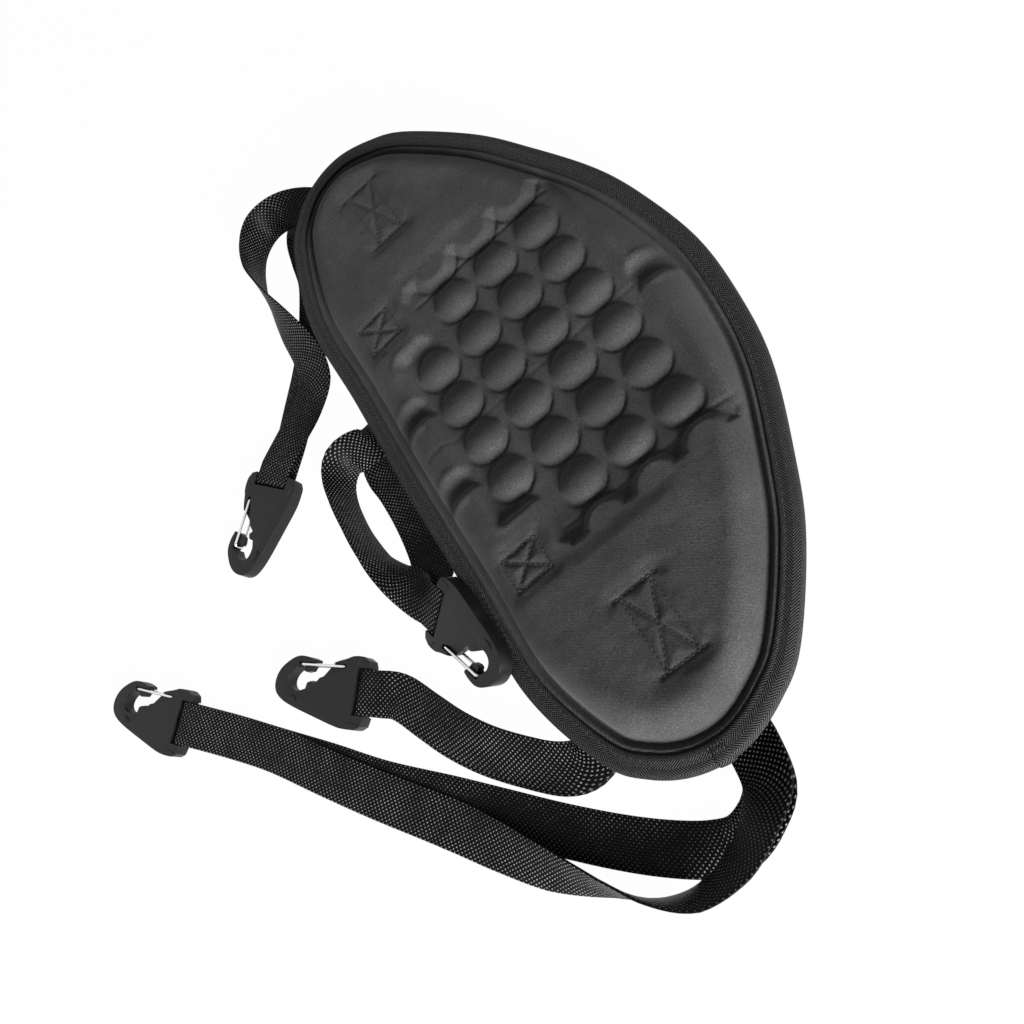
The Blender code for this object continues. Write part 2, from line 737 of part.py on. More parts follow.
def glide_weave(place):
    """The running strand's way below, above and below the three bars."""
    low = -GLIDE_BAR / 2 - GAP - HALF_WEB
    high = WRAP_RADIUS + LAYER
    outer = GLIDE_PITCH
    near = outer - 0.0022
    top = 0.0024
    return in_frame(place, [(-outer - 0.006, low), (-outer, low), (-near, low + 0.0005),
                            (-top, high - 0.0004), (0.0, high), (top, high - 0.0004),
                            (near, low + 0.0005), (outer, low), (outer + 0.006, low)])


def glide_wrap(place):
    """The strap's end: in from the hook's side, below the frame, and round the middle bar."""
    low = -GLIDE_BAR / 2 - GAP - HALF_WEB - LAYER
    profile = [(GLIDE_PITCH + 0.006, low), (GLIDE_PITCH, low), (GLIDE_PITCH * 0.55, low + 0.0004)]
    for k in range(8):
        turn = math.radians(-85 - 28 * k)
        profile.append((WRAP_RADIUS * math.cos(turn), WRAP_RADIUS * math.sin(turn)))
    return in_frame(place, profile)


def anchor_run(x, y, heading, length):
    """Stations of the webbing that is sewn to the pad's back, flat below its outer face."""
    step = Vector((math.cos(math.radians(heading)), math.sin(math.radians(heading)), 0))
    across = Vector((-step.y, step.x, 0))
    made = []
    count = math.ceil(length / WEBBING_SHORT_RUN) + 1
    for k in range(count + 1):
        spot = Vector((x, y, 0)) + step * length * (k / count - 0.5)
        near = [spot + across * WEBBING_WIDTH / 2 * i + step * WEBBING_SHORT_RUN * j
                for i in (-1, 0, 1) for j in (-1, 0, 1)]
        height = min(back_under(np.array([[p.x, p.y] for p in near])))
        made.append(station((spot.x, spot.y, float(height) - GAP - HALF_WEB), across))
    return made


def smooth_run(stations):
    """Stations on a smooth curve, close enough together for the webbing to look even."""
    aligned = [stations[0]]
    for point, width in stations[1:]:
        if width.dot(aligned[-1][1]) < 0:
            width = -width
        aligned.append((point, width))
    count = len(aligned)
    made = []
    for i in range(count - 1):
        picks = [aligned[min(max(i + k, 0), count - 1)] for k in (-1, 0, 1, 2)]
        run = (picks[2][0] - picks[1][0]).length
        steps = 1 if run < WEBBING_SHORT_RUN else 2 if run < WEBBING_LONG_RUN else 4
        for k in range(steps):
            t = k / steps
            point = catmull(*[p[0] for p in picks], t)
            width = picks[1][1].lerp(picks[2][1], t).normalized()
            made.append((point, width))
    made.append(aligned[-1])
    return made


def ribbon(name, stations, surface):
    """Webbing as one closed strip along its stations."""
    line = smooth_run(stations)
    count = len(line)
    verts = []
    for i, (point, width) in enumerate(line):
        along = line[min(i + 1, count - 1)][0] - line[max(i - 1, 0)][0]
        across = (width - along * width.dot(along) / along.length_squared).normalized()
        normal = along.cross(across).normalized() * HALF_WEB
        side = across * WEBBING_WIDTH / 2
        verts += [point + side + normal, point - side + normal, point - side - normal,
                  point + side - normal]
    faces = [(0, 1, 2, 3), tuple(range(4 * count - 1, 4 * count - 5, -1))]
    for i in range(count - 1):
        for k in range(4):
            a = 4 * i + k
            b = 4 * i + (k + 1) % 4
            if (verts[a] - verts[b + 4]).length < (verts[b] - verts[a + 4]).length:
                faces += [(a, a + 4, b + 4), (a, b + 4, b)]
            else:
                faces += [(a, a + 4, b), (a + 4, b + 4, b)]
    return add_object(name, mesh_from(name, verts, faces), surface)


# Routes on the floor, chosen by hand: x, y, roll and lift. Each first one runs from the
# pad to its hook, and each second one runs back to the tri-glide.
OUTER_RIGHT_OUT = [
    (0.2330, -0.0280, 20, 0.0030), (0.2450, -0.0400, 36, 0.0040), (0.2540, -0.0570, 45, 0.0040),
    (0.2560, -0.0780, 60, 0.0025), (0.2470, -0.0980, 88, 0.0004), (0.2310, -0.1150, 110, 0),
    (0.2080, -0.1370, 145, 0.0018), (0.1840, -0.1560, 165, 0.0018),
    (0.1610, -0.1740, 180, 0.0018), (0.1250, -0.2040, 180, 0.0018), (0.0960, -0.2270, 180, 0.0018),
    (0.0650, -0.2510, 180, 0.0018), (0.0410, -0.2730, 180, 0.0028),
]
OUTER_RIGHT_BACK = [
    (0.0410, -0.2730, 0, 0.0003), (0.0650, -0.2510, 0, 0), (0.0930, -0.2250, 0, 0),
    (0.1210, -0.2000, 0, 0), (0.1510, -0.1690, 0, 0), (0.1730, -0.1470, 0, 0),
    (0.1960, -0.1240, 0, 0), (0.2170, -0.1010, 0, 0), (0.2320, -0.0820, 0, 0),
    (0.2420, -0.0660, 0, 0), (0.2460, -0.0530, -8, 0), (0.2420, -0.0390, -15, 0),
    (0.2330, -0.0290, -8, 0),
]
INNER_RIGHT_OUT = [
    (0.1740, -0.0850, 0, 0.0020), (0.1780, -0.0960, -10, 0.0018), (0.1720, -0.1080, -20, 0.0018),
    (0.1560, -0.1240, -25, 0.0018), (0.1390, -0.1380, -25, 0.0018), (0.1220, -0.1490, -20, 0.0018),
    (0.1060, -0.1580, -10, 0.0018), (0.0885, -0.1670, 0, 0.0030),
]
INNER_RIGHT_BACK = [
    (0.0885, -0.1675, 0, 0), (0.1060, -0.1590, 0, 0), (0.1240, -0.1500, 0, 0),
    (0.1420, -0.1380, 0, 0), (0.1600, -0.1220, 0, 0), (0.1740, -0.1070, 0, 0),
    (0.1780, -0.0950, 0, 0), (0.1740, -0.0850, 0, 0),
]
OUTER_LEFT_OUT = [
    (-0.2240, -0.0540, -8, 0.0022), (-0.2350, -0.0640, -25, 0.0026),
    (-0.2440, -0.0790, -40, 0.0026), (-0.2460, -0.0960, -62, 0.0006), (-0.2350, -0.1100, -85, 0),
    (-0.2130, -0.1170, -95, 0.0018), (-0.1880, -0.1180, -115, 0.0020),
    (-0.1630, -0.1170, -140, 0.0020), (-0.1380, -0.1160, -165, 0.0020),
    (-0.1200, -0.1210, -180, 0.0020), (-0.1070, -0.1350, -180, 0.0020),
    (-0.0980, -0.1510, -180, 0.0030),
]
OUTER_LEFT_BACK = [
    (-0.0980, -0.1550, 0, 0.0002), (-0.1140, -0.1400, 0, 0), (-0.1320, -0.1230, 0, 0),
    (-0.1510, -0.1080, 0, 0), (-0.1710, -0.0960, 0, 0), (-0.1900, -0.0870, 0, 0),
    (-0.2110, -0.0830, 0, 0), (-0.2290, -0.0780, 0, 0), (-0.2390, -0.0660, 0, 0),
    (-0.2360, -0.0540, 0, 0), (-0.2260, -0.0480, 0, 0),
]
INNER_LEFT_OUT = [
    (-0.0500, -0.1060, -8, 0.0030), (-0.0490, -0.1150, -30, 0.0036),
    (-0.0480, -0.1260, -58, 0.0020), (-0.0400, -0.1350, -75, 0), (-0.0260, -0.1385, -80, 0),
    (-0.0060, -0.1395, -80, 0), (0.0160, -0.1380, -72, 0), (0.0320, -0.1340, -50, 0.0010),
    (0.0440, -0.1290, -15, 0.0050),
]
INNER_LEFT_BACK = [
    (0.0470, -0.1180, 0, 0.0010), (0.0280, -0.1130, 0, 0), (0.0050, -0.1105, 0, 0),
    (-0.0180, -0.1105, 0, 0), (-0.0340, -0.1120, 0, 0), (-0.0465, -0.1085, 0, 0),
]


def build_straps(webbing):
    """Four straps, each one length of webbing from the pad, through its hook and back."""
    runs = {
        "outer_right": (anchor_run(OUTER_ANCHOR_X, OUTER_ANCHOR_Y, 0, OUTER_ANCHOR_LENGTH),
                        OUTER_RIGHT_OUT, OUTER_RIGHT_BACK),
        "inner_right": (anchor_run(INNER_ANCHOR_X, INNER_ANCHOR_Y, 0, INNER_ANCHOR_LENGTH),
                        INNER_RIGHT_OUT, INNER_RIGHT_BACK),
        "outer_left": (anchor_run(-OUTER_ANCHOR_X, OUTER_ANCHOR_Y, 180, OUTER_ANCHOR_LENGTH),
                       OUTER_LEFT_OUT, OUTER_LEFT_BACK),
        "inner_left": (anchor_run(-INNER_ANCHOR_X, INNER_ANCHOR_Y, -50, INNER_ANCHOR_LENGTH),
                       INNER_LEFT_OUT, INNER_LEFT_BACK),
    }
    for side, (anchor, out, back) in runs.items():
        line = anchor + glide_weave(GLIDE_FRAMES[side]) + floor_run(out)
        line += hook_turn(HOOK_FRAMES[side]) + floor_run(back) + glide_wrap(GLIDE_FRAMES[side])
        ribbon("strap_" + side, line, webbing)


def main():
    clear_scene()
    foam = material("knit_faced_foam", FOAM_GREY, 0.85)
    fabric = material("back_fabric", BLACK, 0.9)
    sheet = material("stiffener_sheet", NATURAL_SHEET, 0.5)
    tape = material("binding_tape", BLACK, 0.8)
    webbing = material("webbing", BLACK, 0.7)
    plastic = material("hook_plastic", PLASTIC, 0.45)
    steel = material("spring_wire", STEEL, 0.25, 1.0)
    build_pad(foam, fabric, sheet)
    build_binding(tape)
    build_hooks(plastic, steel)
    build_glides(plastic)
    build_straps(webbing)


main()
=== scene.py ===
"""Kayak back band, dressed for a studio picture.

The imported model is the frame. The foam front, the cloth back, the edge tape, the webbing,
the snap hooks, the wire gates and the adjusters are modelled again in detail over their
solids, and each gets the finish of the real material. Sizes are in metres, angles in degrees.
"""

import math

import bmesh
import bpy
import numpy as np
from mathutils import Matrix, Vector
from mathutils.geometry import delaunay_2d_cdt


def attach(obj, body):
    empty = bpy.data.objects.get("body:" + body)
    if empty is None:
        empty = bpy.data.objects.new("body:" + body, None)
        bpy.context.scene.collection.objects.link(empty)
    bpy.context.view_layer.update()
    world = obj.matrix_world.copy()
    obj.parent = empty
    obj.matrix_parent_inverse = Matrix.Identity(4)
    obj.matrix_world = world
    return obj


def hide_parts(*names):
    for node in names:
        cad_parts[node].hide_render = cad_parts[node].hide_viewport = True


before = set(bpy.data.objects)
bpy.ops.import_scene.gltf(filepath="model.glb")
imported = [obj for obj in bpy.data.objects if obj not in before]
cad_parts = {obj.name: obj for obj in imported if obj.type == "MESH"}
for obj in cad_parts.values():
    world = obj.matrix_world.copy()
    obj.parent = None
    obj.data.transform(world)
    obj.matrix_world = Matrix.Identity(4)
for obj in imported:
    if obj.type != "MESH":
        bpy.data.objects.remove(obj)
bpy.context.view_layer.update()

# Clearance between pieces that touch
GAP = 0.0003

# Pad outline, measured to the outer edge of the binding
PAD_HALF_LENGTH = 0.2208
PAD_TOP = 0.1044
PAD_BOTTOM = 0.1020
# Right half of the outline as shares of the half length and of the top or bottom reach
OUTLINE_SHAPE = [
    (0.0, 1.0), (0.2, 0.954), (0.367, 0.865), (0.558, 0.684), (0.72, 0.497), (0.897, 0.198),
    (0.963, 0.0), (0.999, -0.226), (0.989, -0.456), (0.9375, -0.659), (0.848, -0.818),
    (0.62, -0.976), (0.33, -0.986), (0.0, -1.0),
]
OUTLINE_STEPS = 15
END_RISE = 0.0145
FLAT_HALF = 0.012
# Pitch of the points on a face and how far they stay from its edge, and how much closer
# their rows are
CUSHION_GRID = (0.00125, 0.0010)
UNDERSIDE_GRID = (0.0055, 0.0030)
BACK_GRID = (0.0035, 0.0024)
ROW_SHARE = 0.87

# Heights of the pad's section
BACK_BULGE = 0.0110
BACK_THICKNESS = 0.0050
FLANGE_THICKNESS = 0.0024
FLANGE_WIDTH = 0.0090
BACK_SLOPE = 0.0450
VALLEY = 0.0120
FRONT_SLOPE = 0.0165
SHOULDER_POWER = 2.2
PLATEAU_HEIGHT = 0.0295
RECESS_DEPTH = 0.0045
WALL_WIDTH = 0.0060
# The recess's side walls are steeper, and the half domes in front of them touch one another
SIDE_START = 0.0900
SIDE_WALL_WIDTH = 0.0035
SIDE_WALL_SHIFT = 0.0036
SIDE_DOME_RADIUS = 0.0150
# Beside the tape the cloth swells in a roll, and dips again at the foot of the slope
ROLL_HEIGHT = 0.0019
ROLL_RAMP = 0.0014
ROLL_END = 0.0092
ROLL_FALL = 0.0024
VALLEY_DEPTH = 0.0011
VALLEY_WIDTH = 0.0017
# The cloth's lip along the recess, and the soft crown of the lobes
LIP_HEIGHT = 0.0007
LIP_PLACE = 0.0045
LIP_WIDTH = 0.0022
CROWN_HEIGHT = 0.0012
CROWN_START = 0.0300
# Unevenness of the cloth: height, lump size and seed
RIPPLES = ((0.00016, 0.0110, 1), (0.00010, 0.0045, 2))

# Domes
DOME_PITCH_X = 0.0282
DOME_PITCH_Y = 0.0300
DOME_RADIUS = 0.0126
DOME_HEIGHT = 0.0062
# How much higher a dome is towards the pad's right end than towards its left one
DOME_LEAN = 0.30
SIDE_DOME_X = 0.0995
# Powers that round off a dome and a half dome, and how far a half dome's top is cut flat
DOME_ROUND = 0.7
HALF_DOME_ROUND = 0.8
HALF_DOME_FLAT = 1.9
# Ditch at a dome's foot: depth, then place and width as shares of the radius
DITCH = (0.0014, 1.03, 0.085)
# Long creases of the cloth: place across, lower end, upper end and depth
LONG_CREASES = ((0.0860, -0.0390, 0.0720, 0.0009), (-0.0860, -0.0390, 0.0660, 0.0009),
                (0.0010, -0.0900, 0.0950, 0.0003))
LONG_CREASE_WIDTH = 0.0011
CREASE_FADE = 0.0060
# Creases between the rows of domes: depth, width, how far they reach and over what they fade
ROW_CREASE = (0.00025, 0.0013)
ROW_CREASE_END = 0.0880
ROW_CREASE_FADE = 0.0100
# How far the creases wander: distance, lump size and seed
CREASE_WAVE = (0.0012, 0.0300, 5)

# Right half of the moulded recess, from the channel between the top blocks downwards
RECESS_RIGHT = [
    (0.0060, 0.0900), (0.0060, 0.0660), (0.1000, 0.0660), (0.1000, -0.0390),
    (0.0615, -0.0390), (0.0615, -0.0615), (0.0320, -0.0615), (0.0320, -0.0870),
    (0.0216, -0.0870), (0.0216, -0.0615),
]
RECESS_CORNER = 0.0040

# Stiffener sheet between the two panels
STIFFENER_THICKNESS = 0.0020
STIFFENER_SHARE = (0.58, 0.40)
STIFFENER_MARGIN = 0.0070

# Binding tape
BINDING_WRAP = 0.0035
BINDING_REACH = 0.0070
BINDING_THICKNESS = 0.0013
# How unevenly the tape's inner edge runs: distance, lump size and seed
TAPE_WAVER = (0.00018, 0.0120, 9)
# Heights in the tape's section, from the middle between the two flanges
TAPE_MIDDLE = BACK_BULGE + FLANGE_THICKNESS + GAP / 2
TAPE_INNER = FLANGE_THICKNESS + GAP / 2 + GAP
TAPE_OUTER = TAPE_INNER + BINDING_THICKNESS
# Where the tape's two ends overlap, how many steps of the outline the overlap takes, how much
# it adds, and the clearance below it
TAPE_END = (0.2160, -0.0300)
TAPE_END_STEPS = 6
TAPE_END_RISE = 0.0009
TAPE_END_ROOM = 0.00012

# Webbing
WEBBING_WIDTH = 0.0250
WEBBING_THICKNESS = 0.0013
WEBBING_STEP = 0.0035
ANCHOR_STEP = 0.0070
# Room between the two strands of a doubled strap, over what the solids have
STRAND_SPARE = 0.0005

# Box stitched anchors on the pad: x, y, heading and length of the sewn webbing
ANCHORS = {
    "outer_right": (0.1560, -0.0225, 0, 0.0420),
    "inner_right": (0.0885, -0.0610, 0, 0.0240),
    "outer_left": (-0.1560, -0.0225, 180, 0.0420),
    "inner_left": (-0.0885, -0.0610, -50, 0.0240),
}
# Half sizes of the sewn boxes along and across the pad, and the outer boxes' wide end bars
OUTER_BOX = (0.0215, 0.0090)
OUTER_BAR = 0.0125
INNER_BOX = (0.0098, 0.0112)
THREAD = 0.0007
STITCH_PITCH = 0.0030
TAPE_THREAD = 0.0006
TAPE_STITCH_PITCH = 0.0036
# How the seams pull the cloth down: depth and width of the groove, the dip and the puckers,
# and how far from the seam the puckers are
SEAM_GROOVE = (0.0012, 0.0012)
SEAM_DIP = (0.0011, 0.0050)
SEAM_PUCKERS = (0.0008, 0.0030)
PUCKER_PLACE = 0.0035

# Snap hook, in its own frame
HOOK_THICKNESS = 0.0080
HOOK_SLOT_DEPTH = 0.0044
HOOK_BAR_DEPTH = 0.0040
HOOK_BAR_THICKNESS = 0.0044
HOOK_EAR = 0.0060
HOOK_RIM = 0.0024
# Share of the eye's full rounding that the other rims get
PLAIN_RIM = 0.42
MARK_RIM = 0.0003
MARK_SINK = 0.0006
# Where the two strands lie flat behind the hook's bar
HOOK_LEAD = (-0.0150, -0.0105)
HOOK_PIVOT = (0.0096, -0.0130)
HOOK_WIRE_TIP = (0.0400, -0.0126)
WIRE_DIAMETER = 0.0018
WIRE_BEND = 0.0015
GATE_OPENING = 20.0
# Corners of the hook's outline that bend less than this are drawn as curves
SOFT_BEND = 38.0

# Tri-glide adjuster
GLIDE_BAR = 0.0016
GLIDE_PITCH = 0.0105
GLIDE_SIDE = 0.0030
GLIDE_RIM = 0.0004
GLIDE_LEAD = 0.0060


# Small helpers

def hex_colour(code):
    """Linear colour of an sRGB hex value."""
    made = []
    for k in (0, 2, 4):
        value = int(code[k:k + 2], 16) / 255
        made.append(value / 12.92 if value <= 0.04045 else ((value + 0.055) / 1.055) ** 2.4)
    return (*made, 1.0)


def smooth(t):
    """A soft step from 0 to 1."""
    t = np.clip(t, 0, 1)
    return t * t * (3 - 2 * t)


def bell(t):
    """A soft bump of height 1 at 0."""
    return np.exp(-t ** 2)


def soft_noise(points, size, seed):
    """Even noise from -1 to 1 with lumps of one size, the same at each run."""
    table = np.random.default_rng(seed).uniform(-1, 1, (64, 64))
    place = points / size
    cell = np.floor(place).astype(int)
    share = smooth(place - cell)
    x0, y0 = cell[:, 0] % 64, cell[:, 1] % 64
    x1, y1 = (x0 + 1) % 64, (y0 + 1) % 64
    low = table[x0, y0] * (1 - share[:, 0]) + table[x1, y0] * share[:, 0]
    high = table[x0, y1] * (1 - share[:, 0]) + table[x1, y1] * share[:, 0]
    return low * (1 - share[:, 1]) + high * share[:, 1]


def catmull(a, b, c, d, t):
    """A point of the smooth curve between b and c."""
    return 0.5 * (2 * b + (c - a) * t + (2 * a - 5 * b + 4 * c - d) * t ** 2
                  + (3 * b - a - 3 * c + d) * t ** 3)


def distances(points, closed=False):
    """How far along a line each point lies, and for a closed one its full length too."""
    ring = list(points) + ([points[0]] if closed else [])
    made = [0.0]
    for a, b in zip(ring, ring[1:]):
        made.append(made[-1] + math.dist(a, b))
    return made


def sweep_skin(run, span, closed=False):
    """Faces of a section swept along a line, with their map along and across in metres."""
    size, steps = len(span) - 1, len(run) - 1
    faces, maps = [], []
    for i in range(steps):
        j = (i + 1) % steps if closed else i + 1
        for k in range(size):
            n = (k + 1) % size
            faces.append((i * size + k, i * size + n, j * size + n, j * size + k))
            maps.append([(run[i], span[k]), (run[i], span[k + 1]),
                         (run[i + 1], span[k + 1]), (run[i + 1], span[k])])
    return faces, maps


def select_only(piece=None):
    """Deselects everything, then selects one piece for the operators that follow."""
    bpy.ops.object.select_all(action="DESELECT")
    if piece:
        piece.select_set(True)
        bpy.context.view_layer.objects.active = piece


def link_piece(name, mesh, surface, body):
    """Links a mesh as a piece that rides on a body and takes a material slot."""
    mesh.materials.clear()
    mesh.materials.append(surface)
    made = bpy.data.objects.new(name, mesh)
    bpy.context.scene.collection.objects.link(made)
    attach(made, body)
    return made


def new_piece(name, verts, faces, surface, maps=None):
    """A smooth piece of the seat from points and faces, with a map of its own if one is given."""
    mesh = bpy.data.meshes.new(name)
    mesh.from_pydata([tuple(v) for v in verts], [], faces)
    if maps:
        layer = mesh.uv_layers.new(name="along_across")
        for face, corners in zip(mesh.polygons, maps):
            for loop_index, corner in zip(face.loop_indices, corners):
                layer.data[loop_index].uv = corner
    work = bmesh.new()
    work.from_mesh(mesh)
    bmesh.ops.recalc_face_normals(work, faces=work.faces)
    work.to_mesh(mesh)
    work.free()
    mesh.shade_smooth()
    return link_piece(name, mesh, surface, "seat")


# Pad shape

def pad_outline():
    """The pad's closed outline as a smooth curve, clockwise from the middle of the top edge."""
    right = []
    for across, along in OUTLINE_SHAPE:
        reach = PAD_TOP if along > 0 else PAD_BOTTOM
        right.append(np.array([across * PAD_HALF_LENGTH, along * reach]))
    left = [np.array([-p[0], p[1]]) for p in reversed(right[1:-1])]
    ring = right + left
    count = len(ring)
    loop = []
    for i in range(count):
        a, b, c, d = (ring[(i + k) % count] for k in (-1, 0, 1, 2))
        for step in range(OUTLINE_STEPS):
            loop.append(catmull(a, b, c, d, step / OUTLINE_STEPS))
    return np.array(loop)


def inset_loop(loop, distance):
    """The clockwise loop moved inwards by a distance."""
    along = np.roll(loop, -1, axis=0) - np.roll(loop, 1, axis=0)
    along /= np.linalg.norm(along, axis=1)[:, None]
    return loop + np.stack([along[:, 1], -along[:, 0]], 1) * distance


def rounded_polygon(corners, radius):
    """Points round a polygon with rounded corners."""
    count = len(corners)
    points = []
    for i in range(count):
        corner = np.array(corners[i])
        before = np.array(corners[i - 1]) - corner
        after = np.array(corners[(i + 1) % count]) - corner
        start = corner + before / np.linalg.norm(before) * radius
        end = corner + after / np.linalg.norm(after) * radius
        for t in (0.0, 0.25, 0.5, 0.75, 1.0):
            points.append((1 - t) ** 2 * start + 2 * t * (1 - t) * corner + t ** 2 * end)
    return np.array(points)


def signed_depth(points, loop):
    """How far each point lies inside a closed loop; negative outside."""
    made = []
    start = loop
    edge = np.roll(loop, -1, axis=0) - start
    rise_y = np.where(np.abs(edge[:, 1]) < 1e-12, 1e-12, edge[:, 1])
    for part in np.array_split(np.asarray(points, float).reshape(-1, 2), 16):
        if not len(part):
            continue
        offset = part[:, None, :] - start[None]
        share = np.clip((offset * edge).sum(2) / (edge ** 2).sum(1), 0, 1)
        nearest = np.linalg.norm(offset - share[..., None] * edge, axis=2).min(1)
        above = start[None, :, 1] > part[:, None, 1]
        above_end = (start + edge)[None, :, 1] > part[:, None, 1]
        cross_x = start[:, 0] + (part[:, None, 1] - start[:, 1]) * edge[:, 0] / rise_y
        crossings = ((above != above_end) & (part[:, None, 0] < cross_x)).sum(1)
        made.append(np.where(crossings % 2 == 1, nearest, -nearest))
    return np.concatenate(made)


def line_distance(points, start, end):
    """Distance of each point from a straight line between two points."""
    start = np.array(start)
    edge = np.array(end) - start
    share = np.clip(((points - start) @ edge) / (edge @ edge), 0, 1)
    return np.linalg.norm(points - start - share[:, None] * edge, axis=1)


OUTLINE = pad_outline()
FLANGE_LOOP = inset_loop(OUTLINE, BINDING_WRAP)
OUTWARD = FLANGE_LOOP - inset_loop(FLANGE_LOOP, 1.0)
RECESS_LOOP = rounded_polygon(RECESS_RIGHT + [(-x, y) for x, y in reversed(RECESS_RIGHT)],
                              RECESS_CORNER)
STIFFENER_LOOP = FLANGE_LOOP * np.array(STIFFENER_SHARE)
FLANGE_TOP = BACK_BULGE + 2 * FLANGE_THICKNESS + GAP


def rise(x):
    """How far the pad is bent up at a place along its length."""
    reach = np.maximum(0, np.abs(x) - FLAT_HALF) / (PAD_HALF_LENGTH - FLAT_HALF)
    return END_RISE * reach ** 2


def back_under(points):
    """Height of the back panel's outer face."""
    depth = signed_depth(points, FLANGE_LOOP)
    return rise(points[:, 0]) + BACK_BULGE * (1 - smooth((depth - FLANGE_WIDTH) / BACK_SLOPE))


def back_top(points):
    """Height of the back panel's inner face."""
    depth = signed_depth(points, FLANGE_LOOP)
    extra = (BACK_THICKNESS - FLANGE_THICKNESS) * smooth((depth - FLANGE_WIDTH) / BACK_SLOPE)
    return back_under(points) + FLANGE_THICKNESS + extra


def front_under(points):
    """Height of the front panel's inner face, which clears the stiffener sheet."""
    over_sheet = rise(points[:, 0]) + BACK_THICKNESS + STIFFENER_THICKNESS + 3 * GAP
    near = signed_depth(points, STIFFENER_LOOP) > -STIFFENER_MARGIN
    plain = back_top(points) + GAP
    return np.where(near, np.maximum(plain, over_sheet), plain)


def dome_centres():
    """Centres of the domes: three full rows, a short row and the half domes at the sides."""
    centres = []
    for row, columns in ((1.5, 6), (0.5, 6), (-0.5, 6), (-1.5, 4)):
        for k in range(columns):
            centres.append(((k - (columns - 1) / 2) * DOME_PITCH_X, row * DOME_PITCH_Y))
        if columns == 6:
            centres.append((SIDE_DOME_X, row * DOME_PITCH_Y))
            centres.append((-SIDE_DOME_X, row * DOME_PITCH_Y))
    return np.array(centres)


def sewn_boxes():
    """Lines of the four sewn boxes on the pad: each box's lines as pairs of end points."""
    boxes = []
    for sign in (1, -1):
        for anchor, (a, b), bar in (("outer_right", OUTER_BOX, OUTER_BAR),
                                    ("inner_right", INNER_BOX, INNER_BOX[1])):
            cx, cy = sign * ANCHORS[anchor][0], ANCHORS[anchor][1]
            lines = [((cx + s * a, cy - bar), (cx + s * a, cy + bar)) for s in (-1, 1)]
            lines += [((cx - a, cy + s * b), (cx + a, cy + s * b)) for s in (-1, 1)]
            lines += [((cx - a, cy + s * b), (cx + a, cy - s * b)) for s in (-1, 1)]
            boxes.append(lines)
    return boxes


def sewn_dents(points):
    """How far the cloth is pulled down by the sewn boxes, with puckers round them."""
    pull = np.zeros(len(points))
    for k, lines in enumerate(sewn_boxes()):
        near = np.min([line_distance(points, *line) for line in lines], axis=0)
        spoke = points - np.mean(np.array(lines).reshape(-1, 2), axis=0)
        turn = np.arctan2(spoke[:, 1], spoke[:, 0])
        pucker = 0.5 + 0.5 * soft_noise(np.stack([turn * 3.2, near * 90 + k], 1), 1.0, 31)
        groove = SEAM_GROOVE[0] * bell(near / SEAM_GROOVE[1])
        dip = SEAM_DIP[0] * bell(near / SEAM_DIP[1])
        folds = SEAM_PUCKERS[0] * pucker * bell((near - PUCKER_PLACE) / SEAM_PUCKERS[1])
        pull += groove + dip + folds
    return pull


def creases(points):
    """Fine creases of the cloth between the domes and over the channels."""
    wave = CREASE_WAVE[0] * soft_noise(points, *CREASE_WAVE[1:])
    made = np.zeros(len(points))
    for x, low, high, deep in LONG_CREASES:
        along = smooth((points[:, 1] - low) / CREASE_FADE)
        along = along * smooth((high - points[:, 1]) / CREASE_FADE)
        made += deep * along * bell((points[:, 0] + wave - x) / LONG_CREASE_WIDTH)
    inside = smooth((ROW_CREASE_END - np.abs(points[:, 0])) / ROW_CREASE_FADE)
    for row in (-1.0, 0.0, 1.0):
        across = points[:, 1] + wave - row * DOME_PITCH_Y
        made += ROW_CREASE[0] * inside * bell(across / ROW_CREASE[1])
    return made


